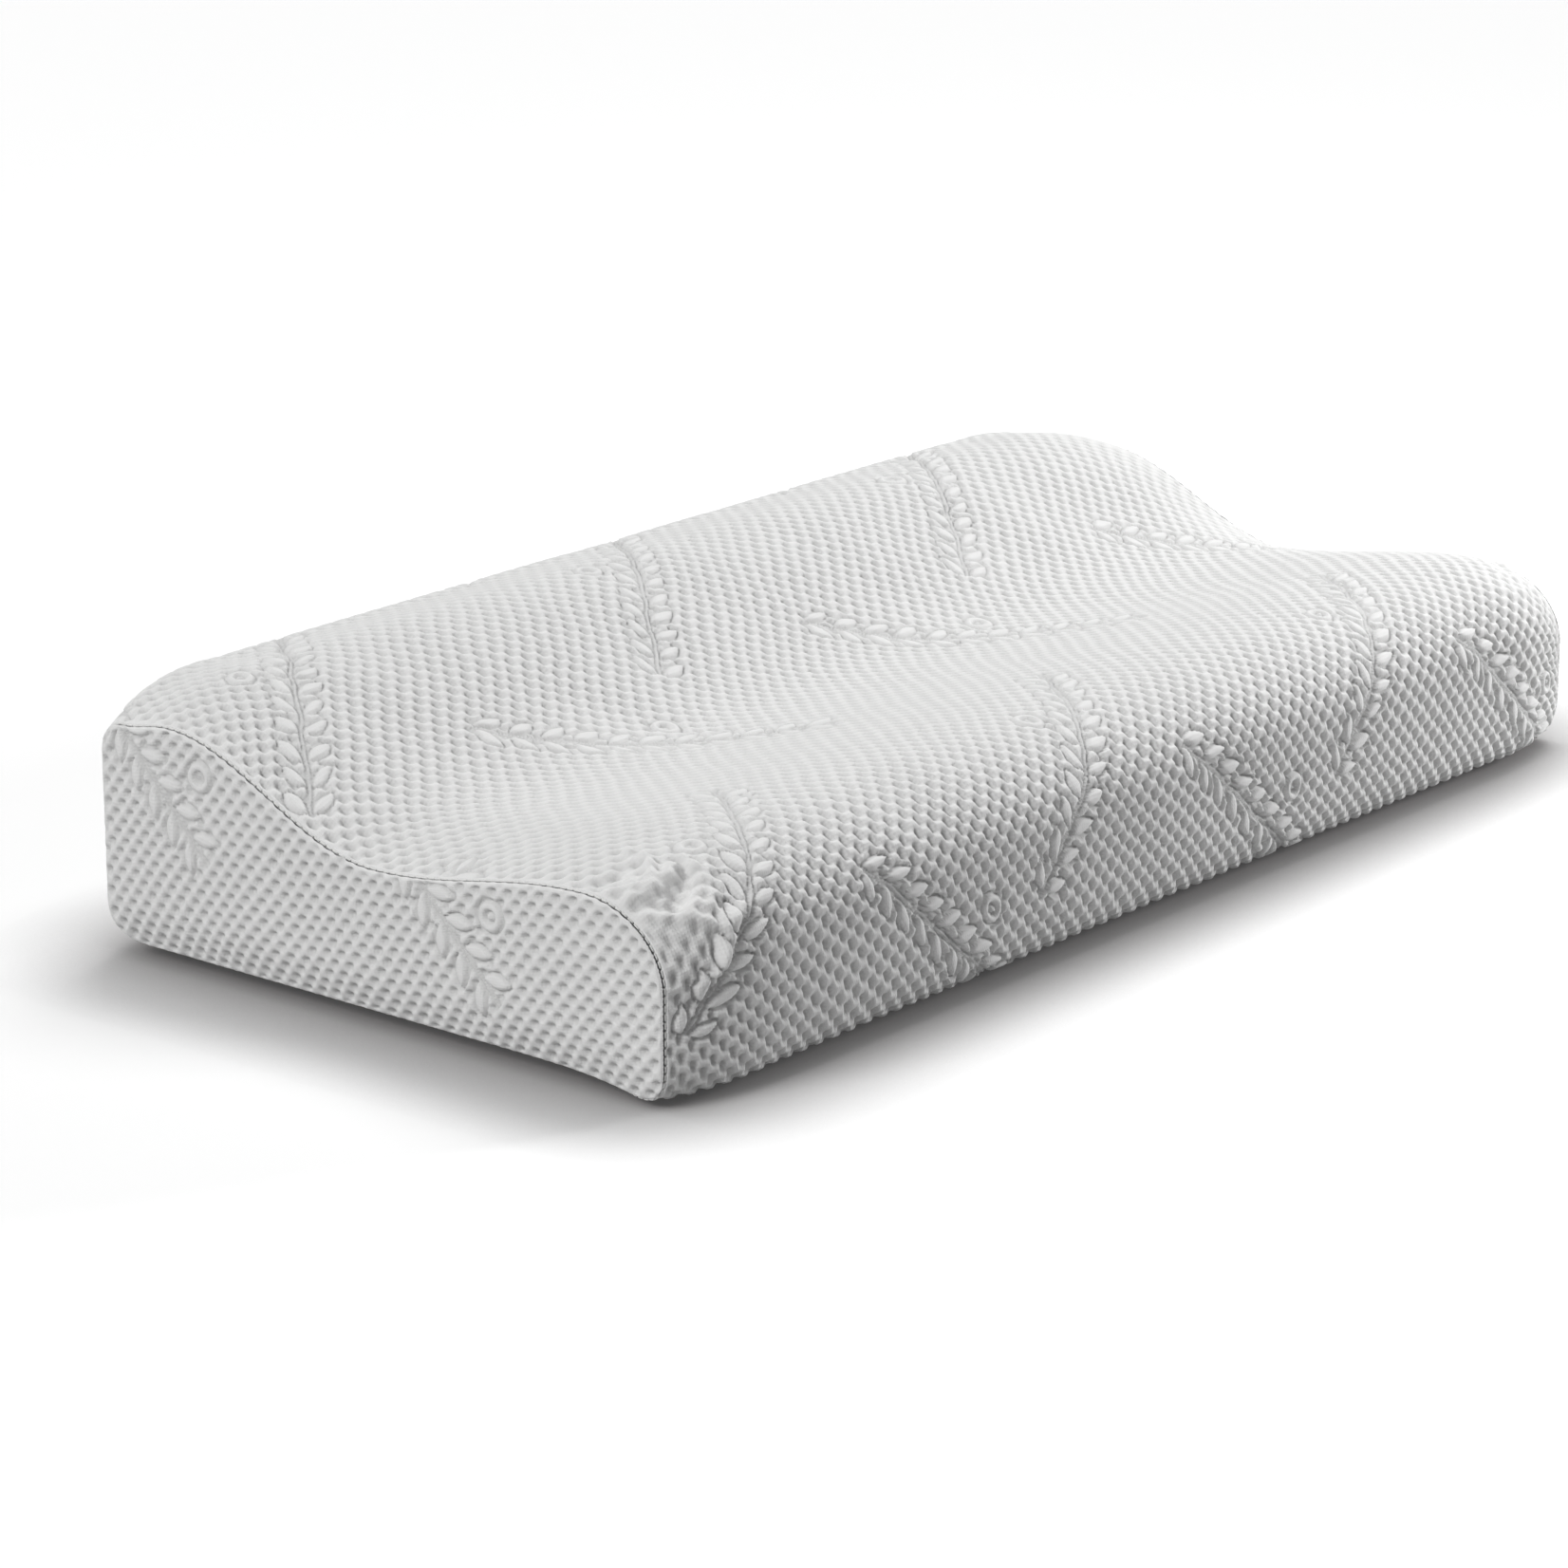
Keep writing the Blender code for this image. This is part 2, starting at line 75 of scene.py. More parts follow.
camera_data = bpy.data.cameras.new("camera")
camera_data.lens = 120.4
camera_data.sensor_width = 36.0
camera_data.clip_end = 60.0
camera = bpy.data.objects.new("camera", camera_data)
camera.location = CAMERA_PLACE
camera.rotation_euler = (math.pi / 2 - CAMERA_TILT, 0, CAMERA_HEADING - math.pi / 2)
bpy.context.scene.collection.objects.link(camera)
bpy.context.scene.camera = camera

surroundings = bpy.data.worlds.new("surroundings")
surroundings.use_nodes = True
surroundings.node_tree.nodes["Background"].inputs["Color"].default_value = (1, 1, 1, 1)
surroundings.node_tree.nodes["Background"].inputs["Strength"].default_value = SURROUND_STRENGTH
bpy.context.scene.world = surroundings
bpy.context.scene.view_settings.view_transform = "Standard"


def add_light(name, kind, strength, aim):
    """A light that shines in the direction aim, (x, y, z)."""
    lamp = bpy.data.lights.new(name, kind)
    lamp.energy = strength
    holder = bpy.data.objects.new(name, lamp)
    down = np.array(aim) / np.linalg.norm(aim)
    holder.rotation_euler = (math.acos(-down[2]), 0, math.atan2(-down[0], down[1]))
    bpy.context.scene.collection.objects.link(holder)
    return lamp, holder


main_light, _ = add_light("main_light", "SUN", 2.1, (1.2, -0.20, -0.92))
main_light.angle = math.radians(26)
back_light, _ = add_light("back_light", "SUN", 1.3, (-0.60, -0.15, -0.90))
back_light.angle = math.radians(34)
side_light, side_stand = add_light("side_light", "AREA", 10.5, (-0.88, 0.62, -0.35))
side_light.shape = "DISK"
side_light.size = 0.28
side_stand.location = (1.06, -0.68, 0.40)

table_mesh = bpy.data.meshes.new("table_top")
table_corners = [
    (x * TABLE_HALF, y * TABLE_HALF, -TABLE_DROP) for x, y in ((-1, -1), (1, -1), (1, 1), (-1, 1))
]
table_mesh.from_pydata(table_corners, [], [(0, 1, 2, 3)])
table_top = bpy.data.objects.new("table_top", table_mesh)
bpy.context.scene.collection.objects.link(table_top)


def table_finish():
    """A white sweep, which shows whiter than the light it throws back, with a painted shadow darkening its
    colour round the pillow.
    """
    made = bpy.data.materials.new("white_table_top")
    made.use_nodes = True
    nodes, links = made.node_tree.nodes, made.node_tree.links
    shader = nodes["Principled BSDF"]
    shader.inputs["Roughness"].default_value = 0.85
    shader.inputs["Specular IOR Level"].default_value = 0.1
    # Painted shadow: ambient occlusion darkens the table's colour close round the pillow.
    painted_shadow_ao = nodes.new("ShaderNodeAmbientOcclusion")
    painted_shadow_ao.samples = 16
    painted_shadow_ao.inputs["Distance"].default_value = PAINTED_SHADOW_REACH
    shade = nodes.new("ShaderNodeMath")
    shade.operation = "POWER"
    shade.inputs[1].default_value = PAINTED_SHADOW_POWER
    links.new(painted_shadow_ao.outputs["AO"], shade.inputs[0])
    white_with_painted_shadow = nodes.new("ShaderNodeMix")
    white_with_painted_shadow.data_type = "RGBA"
    white_with_painted_shadow.inputs["A"].default_value = (0.16, 0.15, 0.15, 1)
    white_with_painted_shadow.inputs["B"].default_value = (0.98, 0.98, 0.98, 1)
    links.new(shade.outputs[0], white_with_painted_shadow.inputs["Factor"])
    seen = nodes.new("ShaderNodeLightPath")
    tone = nodes.new("ShaderNodeMix")
    tone.data_type = "RGBA"
    tone.inputs["A"].default_value = (0.45, 0.45, 0.45, 1)
    links.new(seen.outputs["Is Camera Ray"], tone.inputs["Factor"])
    links.new(white_with_painted_shadow.outputs["Result"], tone.inputs["B"])
    links.new(tone.outputs["Result"], shader.inputs["Base Color"])
    glow = nodes.new("ShaderNodeMath")
    glow.operation = "MULTIPLY"
    glow.inputs[1].default_value = TABLE_GLOW
    links.new(seen.outputs["Is Camera Ray"], glow.inputs[0])
    shader.inputs["Emission Color"].default_value = (1, 1, 1, 1)
    links.new(glow.outputs[0], shader.inputs["Emission Strength"])
    return made


table_mesh.materials.append(table_finish())


# ---- Foam core -------------------------------------------------------------------------
# A block of cream memory foam, moulded to the contour shape, with a smooth open-celled skin.
# It fills the liner, and the cover takes its shape from it.
HALF_LENGTH = cad_box[1][0]
FRONT = cad_box[0][1]
REAR = cad_box[1][1]
REAR_HEIGHT = cad_box[1][2]
FRONT_HEIGHT = 0.085
DIP_HEIGHT = 0.073
SHOULDER_DROP = 0.003
REAR_CREST_IN = 0.038
FRONT_CREST_IN = 0.041
DIP_BACK = 0.150
FRONT_ROUND_DROP = 0.031
BOTTOM_RADIUS = 0.024
FRONT_FILL = 2.5  # a quarter circle is 2, a square corner endless
CORNER_FILL = 3.4
SHOULDER_RADIUS = 0.012
END_DRAW = 0.0116
END_REACH = 0.060
END_DRAW_POWER = 2.2
DRAW_FULL_HEIGHT = 0.065
END_LIFT = 0.006
LIFT_REACH = 0.028
END_TUCK = 0.009  # how far the end leans in at the bottom
TUCK_HEIGHT = 0.024
TUCK_REACH = 0.050
CORNER_HOLD = 0.85  # share of the lean that the front corner is spared
CORNER_REACH = 0.035
END_LEAN_SHARE = 0.87  # of the full lean, at the seam

ZIP_HEIGHT = 0.040
LIP_EDGE = 0.0037  # zip centre line to each lip of the cover
PLACKET_DEPTH = 0.0036
PLACKET_FLAT = 0.018
PLACKET_FLANK = 0.008
PLACKET_END = 0.2475
REAR_BOTTOM_RADIUS = ZIP_HEIGHT - PLACKET_FLAT / 2 - PLACKET_FLANK
PLACKET_FADE = 0.025

CORE_INSET = 0.0057  # cover, tape and liner lie over it
CORE_EDGE = 0.0022  # the core's sides stop short of its end faces, which are a little domed
CORE_DOME = 0.001
END_MIDDLE = 0.048  # height of the middle of an end face


def wave(t):
    """0 to 1, level at both ends."""
    return (1 - np.cos(np.pi * np.clip(t, 0, 1))) / 2


def quarter_round(centre, across, up, start, end):
    turn = np.radians(np.linspace(start, end, 60))
    return np.column_stack((centre[0] + across * np.cos(turn), centre[1] + up * np.sin(turn)))


def swell_line(start, end):
    """Half a wave from one crest or dip to the next."""
    t = np.linspace(0, 1, 160)
    return np.column_stack((start[0] + (end[0] - start[0]) * t, start[1] + (end[1] - start[1]) * wave(t)))


def contour():
    """Close (y, z) points of the cross-section, from the zip's upper lip over the top to its lower lip."""
    shoulder = REAR_HEIGHT - SHOULDER_DROP
    rear_crest = (REAR - REAR_CREST_IN, REAR_HEIGHT)
    dip = (FRONT + DIP_BACK, DIP_HEIGHT)
    front_crest = (FRONT + FRONT_CREST_IN, FRONT_HEIGHT)
    top_corner = (REAR - SHOULDER_RADIUS, shoulder - SHOULDER_RADIUS)
    round_centre = (front_crest[0], FRONT_HEIGHT - FRONT_ROUND_DROP)
    rear_bottom = (REAR - REAR_BOTTOM_RADIUS, REAR_BOTTOM_RADIUS)
    pieces = [
        [(REAR, ZIP_HEIGHT + LIP_EDGE)],
        quarter_round(top_corner, SHOULDER_RADIUS, SHOULDER_RADIUS, 0, 90),
        swell_line((top_corner[0], shoulder), rear_crest),
        swell_line(rear_crest, dip),
        swell_line(dip, front_crest),
        quarter_round(round_centre, FRONT_CREST_IN, FRONT_ROUND_DROP, 90, 180),
        quarter_round((FRONT + BOTTOM_RADIUS, BOTTOM_RADIUS), BOTTOM_RADIUS, BOTTOM_RADIUS, 180, 270),
        quarter_round(rear_bottom, REAR_BOTTOM_RADIUS, REAR_BOTTOM_RADIUS, 270, 360),
        [(REAR, ZIP_HEIGHT - LIP_EDGE)],
    ]
    points = np.concatenate([np.array(piece, float) for piece in pieces])
    keep = np.r_[True, np.hypot(*np.diff(points, axis=0).T) > 1e-6]
    return points[keep]


CONTOUR = contour()
AROUND = np.r_[0, np.cumsum(np.hypot(*np.diff(CONTOUR, axis=0).T))]  # distance round the pillow
GIRTH = AROUND[-1]
UNDERSIDE = AROUND[np.abs(CONTOUR[:, 1]) < 1e-7][[0, -1]]


def off_corner(y):
    """1 over most of the pillow's depth, and little at the front corner, which hardly moves."""
    return 1 - CORNER_HOLD * np.exp(-(((y - FRONT) / CORNER_REACH) ** 2))


def lean_in(y, z):
    """How far an end leans in: only near the table, and hardly at the front corner."""
    return END_TUCK * np.clip(1 - z / TUCK_HEIGHT, 0, 1) ** 2 * off_corner(y)


def settle(x, y, z):
    """Where a point of the straight bar comes to lie on the pillow, whose ends are drawn in."""
    from_end = np.clip(HALF_LENGTH - np.abs(x), 0, None)
    run = PLACKET_DEPTH * (1 - wave((np.abs(x) - PLACKET_END) / PLACKET_FADE))
    flank = (np.abs(z - ZIP_HEIGHT) - PLACKET_FLAT / 2) / PLACKET_FLANK
    y = y - np.where(y > REAR - 0.004, run * (1 - wave(flank)), 0)
    # The bottom edges are fuller than a quarter circle, most of all towards the ends.
    for way, radius, start_fill in ((-1, BOTTOM_RADIUS, FRONT_FILL), (1, REAR_BOTTOM_RADIUS, 2.0)):
        over, under = way * y - REAR + radius, radius - z
        bend = np.arctan2(np.clip(under, 0, None), np.clip(over, 0, None))
        full = start_fill + (CORNER_FILL - start_fill) * np.clip(1 - from_end / END_REACH, 0, 1)
        fill = (np.cos(bend) ** full + np.sin(bend) ** full) ** (-1 / full) - 1
        fill = np.where((over > 0) & (under > 0), fill, 0)
        y = y + way * over * fill
        z = z - under * fill
    draw = END_DRAW * np.clip(1 - from_end / END_REACH, 0, 1) ** END_DRAW_POWER
    lift = END_LIFT * np.clip(1 - from_end / LIFT_REACH, 0, 1) ** 2 * off_corner(y)
    share = wave(z / DRAW_FULL_HEIGHT)
    tuck = lean_in(y, z) * np.clip(1 - from_end / TUCK_REACH, 0, 1) ** 2
    out = (x - np.sign(x) * tuck, y * (1 - draw / REAR), z - draw * share + lift * (1 - share))
    return np.stack(np.broadcast_arrays(*out), axis=-1)


def unit(vectors):
    return vectors / np.maximum(np.linalg.norm(vectors, axis=-1, keepdims=True), 1e-12)


def wrap_grid(along, around, inset):
    """Points of the wrap at each place along X and round the pillow, inset from the cover's face."""
    def at(step_x, step_s):
        s = np.clip(np.asarray(around, float) + step_s, 0, GIRTH)
        y, z = (np.interp(s, AROUND, CONTOUR[:, k])[None, :] for k in (0, 1))
        return settle(np.asarray(along, float)[:, None] + step_x, y, z)

    normal = unit(np.cross(at(0, 0.0008) - at(0, -0.0008), at(0.0008, 0) - at(-0.0008, 0)))
    grid = at(0, 0)
    return grid - normal * np.broadcast_to(inset, grid.shape[:2])[..., None]


def outward(grid):
    """Unit normals of an even grid whose rows run along +X and whose columns run round the pillow."""
    return unit(np.cross(np.gradient(grid, axis=1), np.gradient(grid, axis=0)))


def even(start, end, step):
    return np.linspace(start, end, max(2, int(round(abs(end - start) / step)) + 1))


def grid_faces(rows, columns, closed=False):
    """Quads of a grid of points; closed joins the last column to the first."""
    index = np.arange(rows * columns).reshape(rows, columns)
    if closed:
        index = np.concatenate((index, index[:, :1]), axis=1)
    quads = (index[:-1, :-1], index[:-1, 1:], index[1:, 1:], index[1:, :-1])
    return np.stack(quads, axis=-1).reshape(-1, 4)


def add_piece(name, points, faces, finish, slot, body="pillow", replaces=(), uv=None):
    """A mesh that rides on a body, smooth shaded, and stands for the named solids."""
    mesh = bpy.data.meshes.new(name)
    mesh.from_pydata(np.asarray(points).reshape(-1, 3).tolist(), [], [list(face) for face in faces])
    mesh.shade_smooth()
    mesh.materials.append(finish)
    if uv is not None:
        corners = np.concatenate([list(face) for face in faces])
        layer = mesh.uv_layers.new(name="OFBake")
        layer.data.foreach_set("uv", np.asarray(uv, np.float32).reshape(-1, 2)[corners].ravel())
    piece = bpy.data.objects.new(name, mesh)
    bpy.context.scene.collection.objects.link(piece)
    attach(piece, body)
    if replaces:
        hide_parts(*replaces)
    return piece


def node(tree, kind, **values):
    """A shader node; values whose name is a socket set that socket, the others a property."""
    made = tree.nodes.new(kind)
    for key, value in values.items():
        socket = made.inputs.get(key.replace("_", " ").title()) or made.inputs.get(key)
        if socket is None:
            setattr(made, key, value)
        else:
            socket.default_value = value
    return made


def shader_group(name, inputs, outputs):
    """An empty node group with named sockets; each is (name, socket kind, default)."""
    group = bpy.data.node_groups.new(name, "ShaderNodeTree")
    for sockets, direction in ((inputs, "INPUT"), (outputs, "OUTPUT")):
        for label, kind, start in sockets:
            socket = group.interface.new_socket(label, in_out=direction, socket_type="NodeSocket" + kind)
            if start is not None:
                socket.default_value = start
    return group, group.nodes.new("NodeGroupInput"), group.nodes.new("NodeGroupOutput")


def make_tone_group():
    """Slight unevenness of a dyed or moulded surface: the colour, a little lighter and darker in patches."""
    group, given, result = shader_group(
        "uneven_tone",
        [("Color", "Color", (0.8, 0.8, 0.8, 1)), ("Patch Size", "Float", 0.02), ("Strength", "Float", 0.05)],
        [("Color", "Color", None)],
    )
    links = group.links
    place = group.nodes.new("ShaderNodeTexCoord")
    scale = node(group, "ShaderNodeMath", operation="DIVIDE")
    scale.inputs[0].default_value = 1.0
    links.new(given.outputs["Patch Size"], scale.inputs[1])
    patches = node(group, "ShaderNodeTexNoise", Detail=4.0, Roughness=0.6)
    links.new(place.outputs["Object"], patches.inputs["Vector"])
    links.new(scale.outputs[0], patches.inputs["Scale"])
    centred = node(group, "ShaderNodeMath", operation="SUBTRACT")
    centred.inputs[1].default_value = 0.5
    links.new(patches.outputs["Fac"], centred.inputs[0])
    amount = node(group, "ShaderNodeMath", operation="MULTIPLY_ADD")
    amount.inputs[2].default_value = 1.0
    links.new(centred.outputs[0], amount.inputs[0])
    links.new(given.outputs["Strength"], amount.inputs[1])
    toned = node(group, "ShaderNodeVectorMath", operation="SCALE")
    links.new(given.outputs["Color"], toned.inputs[0])
    links.new(amount.outputs[0], toned.inputs["Scale"])
    links.new(toned.outputs[0], result.inputs["Color"])
    return group


uneven_tone = make_tone_group()


def start_material(name, roughness, sheen=0.0, metallic=0.0):
    """A new material with its Principled shader's plain values set."""
    made = bpy.data.materials.new(name)
    made.use_nodes = True
    shader = made.node_tree.nodes["Principled BSDF"]
    shader.inputs["Roughness"].default_value = roughness
    shader.inputs["Metallic"].default_value = metallic
    shader.inputs["Specular IOR Level"].default_value = 0.3
    if sheen:
        shader.inputs["Sheen Weight"].default_value = sheen
        shader.inputs["Sheen Roughness"].default_value = 0.5
    return made, made.node_tree, shader


def tint(tree, shader, colour, patch, strength):
    """Feeds the shader's colour through the uneven tone, and returns that node."""
    tone = node(tree, "ShaderNodeGroup", node_tree=uneven_tone)
    tone.inputs["Color"].default_value = (*colour, 1)
    tone.inputs["Patch Size"].default_value = patch
    tone.inputs["Strength"].default_value = strength
    tree.links.new(tone.outputs["Color"], shader.inputs["Base Color"])
    return tone


def relief(tree, shader, height, depth, strength=1.0):
    """A bump from a height that runs from 0 to 1 over depth metres."""
    bump = node(tree, "ShaderNodeBump", Strength=strength, Distance=depth)
    tree.links.new(height, bump.inputs["Height"])
    tree.links.new(bump.outputs["Normal"], shader.inputs["Normal"])


def foam_finish():
    made, tree, shader = start_material("memory_foam", 0.92, sheen=0.1)
    tint(tree, shader, (0.86, 0.81, 0.66), 0.03, 0.12)
    place = tree.nodes.new("ShaderNodeTexCoord")
    cells = node(tree, "ShaderNodeTexVoronoi", Scale=900.0, Randomness=1.0)
    tree.links.new(place.outputs["Object"], cells.inputs["Vector"])
    relief(tree, shader, cells.outputs["Distance"], 0.0006, 0.6)
    return made


def end_rings(ring, side, face, crown):
    """Rings that shrink from a cross-section to the middle of an end face; side is -1 at -X."""
    rings = []
    for share in (0.995, 0.97, 0.9, 0.75, 0.5, 0.25, 0.02):
        y, z = ring[:, 1] * share, END_MIDDLE + (ring[:, 2] - END_MIDDLE) * share
        bulge = crown * (1 - share**2)
        rings.append(np.column_stack((side * (face + bulge - END_LEAN_SHARE * lean_in(y, z)), y, z)))
    return np.array(rings)


def close_ring(points):
    """Faces of rings of points, with the first and last ring filled."""
    rows, columns = points.shape[:2]
    ends = [list(range(columns)), list(range(rows * columns - 1, (rows - 1) * columns - 1, -1))]
    return [list(face) for face in grid_faces(rows, columns, closed=True)] + ends


CORE_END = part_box("foam_core")[1][0]
CORE_FACE = CORE_END - 0.0016
core_along = even(CORE_EDGE - CORE_END, CORE_END - CORE_EDGE, 0.004)
core_sides = wrap_grid(core_along, even(0, GIRTH, 0.004), CORE_INSET)
core_points = np.concatenate((
    end_rings(core_sides[0], -1, CORE_FACE, CORE_DOME)[::-1],
    core_sides,
    end_rings(core_sides[-1], 1, CORE_FACE, CORE_DOME),
))
foam_core = add_piece(
    "moulded_foam_core", core_points, close_ring(core_points), foam_finish(), "memory_foam",
    replaces=["foam_core"],
)


# ---- Jersey liner ----------------------------------------------------------------------
# Fine plain jersey keeps the foam clean: one tube round the core and a panel sewn on at each
# end. It is stretched smooth over the foam and is never seen while the cover is on.
LINER_INSET = 0.0044
LINER_END = 0.2940
LINER_FACE = 0.2953


def jersey_finish():
    made, tree, shader = start_material("liner_jersey", 0.9, sheen=0.2)
    tint(tree, shader, (0.82, 0.82, 0.80), 0.02, 0.05)
    place = tree.nodes.new("ShaderNodeTexCoord")
    wales = node(tree, "ShaderNodeTexWave", Scale=320.0, Distortion=1.0, Detail=1.0)
    tree.links.new(place.outputs["Object"], wales.inputs["Vector"])
    relief(tree, shader, wales.outputs["Fac"], 0.0002, 0.5)
    return made


liner_jersey = jersey_finish()
liner_points = wrap_grid(even(-LINER_END, LINER_END, 0.005), even(0, GIRTH, 0.005), LINER_INSET)
liner_wrap = add_piece(
    "jersey_liner_wrap", liner_points, grid_faces(*liner_points.shape[:2], closed=True), liner_jersey,
    "liner_jersey", replaces=["liner_wrap"],
)
for side, end in ((-1, "left"), (1, "right")):
    ring = liner_points[0 if side < 0 else -1]
    rings = np.concatenate((ring[None], end_rings(ring, side, LINER_FACE, 0.0)))
    if side < 0:
        rings = rings[:, ::-1]
    faces = [list(face) for face in grid_faces(*rings.shape[:2], closed=True)]
    faces.append([rings.shape[0] * rings.shape[1] - 1 - i for i in range(rings.shape[1])])
    liner_end = add_piece(
        "jersey_liner_end_" + end, rings, faces, liner_jersey, "liner_jersey", replaces=["liner_end_" + end]
    )


# ---- Knit cover, wrap panel ------------------------------------------------------------
# One long panel of stretch double knit with a filling yarn, which stands up in pads between
# rows of small dimples. It runs round the core and its two edges end at the zip's lips.
# It is cut, hemmed and sewn to the end panels inside out, so the seams lie in a valley.
WRAP_END = HALF_LENGTH - 0.0026
COVER_THICKNESS = 0.003
HEM_ROUND = 0.0010
FINE_STEP = 0.0009
UNDER_STEP = 0.003
DIMPLE_ACROSS = 0.00875  # the knit's repeat along X
DIMPLE_AROUND = 0.0090  # and round the pillow; every other row is half a repeat over
RELIEF_DEPTH = 0.0023  # on the top; the pads of the front wall stand taller
FRONT_RELIEF = 0.0036
SEAM_FADE = 0.0026  # the knit is pulled flat this near a seam
SEAM_FLAT = 0.0002  # and lies this much lower
LIP_PLAIN = 0.0035  # plain cloth beside the zip, before the knit's relief begins
FRONT_PADS_TOP = 0.060  # the tall pads reach this far up from the front's bottom edge
FRONT_PADS_FADE = 0.050  # and get lower over this length
SLOT_END = 0.2328  # the lips lie apart as far as this from the middle


def drift(a, b, size, count=10, seed=1):
    """Smooth random values of about -1 to 1 over the places (a, b); size is the largest ripple's length."""
    rand = np.random.default_rng(seed)
    total = np.zeros(np.broadcast(a, b).shape)
    for _ in range(count):
        turn, phase = rand.uniform(0, 2 * np.pi, 2)
        pitch = size * rand.uniform(0.35, 1.0)
        total += np.sin(2 * np.pi * (a * math.cos(turn) + b * math.sin(turn)) / pitch + phase)
    return total / math.sqrt(count / 2) / 1.6


def knit_height(across, around, waver, link):
    """Height of the knit, 0 in the deepest dimple and 1 on the ridges.

    Wavy ridges rise to the right and lower ones fall to the right; between them lie tall dimples
    in half-drop rows. A dimple is steepest on its upper and left side, under the pad beside it.
    waver is how far the ridges swing, and link how deep the dimples run into each other.
    """
    p = across / DIMPLE_ACROSS
    q = around / DIMPLE_AROUND
    p = p + 0.022 * np.cos(4 * np.pi * p)
    q = q - 0.045 * np.cos(4 * np.pi * q)
    along = p + q
    rising = np.cos(np.pi * (p - q + waver * np.sin(2 * np.pi * along))) ** 2
    dimple = rising**1.1 * (link + (1 - link) * np.abs(np.cos(np.pi * along)) ** 2.4)
    return 1 - dimple


LEAF_PITCH = 0.0130  # between pairs of leaves
LEAF_LENGTH = 0.0145
LEAF_HALF = 0.0030
LEAF_LEAN = math.radians(40)


def leaf_sprig(a, b, length):
    """(mask, height) of a sprig that lies along a: a stem, pairs of pointed leaves and a berry beside it.

    Where the sprig lies the knit is plain, and a fine crease runs round every leaf.
    """
    mask = np.zeros(np.broadcast(a, b).shape)
    height = np.zeros(mask.shape)
    window = (np.abs(a) < length / 2 + 0.02) & (np.abs(b) < 0.034)
    if not window.any():
        return mask, height
    a = np.broadcast_to(a, mask.shape)[window]
    b = np.broadcast_to(b, mask.shape)[window]
    along_row = a + length / 2
    closest = np.full(a.shape, 0.01)
    for step in (-1, 0):
        number = np.floor(along_row / LEAF_PITCH) + step
        run = along_row - number * LEAF_PITCH
        out = np.abs(b) - 0.0012
        u = run * math.cos(LEAF_LEAN) + out * math.sin(LEAF_LEAN)
        v = out * math.cos(LEAF_LEAN) - run * math.sin(LEAF_LEAN)
        taper = 1 - np.clip(2 * u / LEAF_LENGTH - 1, -1, 1) ** 2
        beyond = np.maximum(np.abs(u - LEAF_LENGTH / 2) - LEAF_LENGTH / 2, 0)
        leaf = np.where(beyond > 0, np.hypot(v, beyond), np.abs(v) - LEAF_HALF * taper)
        leaf = np.where((number >= 0) & (number < int(length / LEAF_PITCH)), leaf, 0.01)
        closest = np.minimum(closest, leaf)
    berry = np.abs(np.hypot(a - 0.006, b - 0.0205) - 0.0042) - 0.0019
    stem = np.where(np.abs(a) < length / 2, np.abs(b) - 0.0006, 0.01)
    closest = np.minimum(closest, np.minimum(berry, stem))
    mask[window] = 1 - wave((closest - 0.0005) / 0.0014)
    crease = np.exp(-(((closest - 0.0003) / 0.0007) ** 2))
    height[window] = 0.78 + 0.24 * (1 - np.exp(-np.clip(-closest, 0, None) / 0.0012)) - 0.62 * crease
    return mask, height


SPRIG_LENGTH = 0.145
SPRIG_PITCH = 0.200  # between sprigs of one row, along X
# Lean, shift along X, place of one row round the pillow, and pitch of such rows.
SPRIG_ROWS = ((math.radians(-40), 0.060, 0.035, 0.197), (math.radians(50), -0.044, 0.100, 0.230))


def sprigs(x, around):
    """(mask, height) of the sprigs that the knit repeats over the wrap panel."""
    mask = np.zeros(np.broadcast(x, around).shape)
    height = np.zeros(mask.shape)
    for lean, offset, first, row_pitch in SPRIG_ROWS:
        for row, k in np.ndindex(6, 5):
            middle = first + row_pitch * (row - 2)
            centre = SPRIG_PITCH * (k - 2) + offset
            a = (x - centre) * math.cos(lean) + (around - middle) * math.sin(lean)
            b = (around - middle) * math.cos(lean) - (x - centre) * math.sin(lean)
            m, h = leaf_sprig(a, b, SPRIG_LENGTH)
            height = np.where(m > mask, h, height)
            mask = np.maximum(mask, m)
    return mask, height


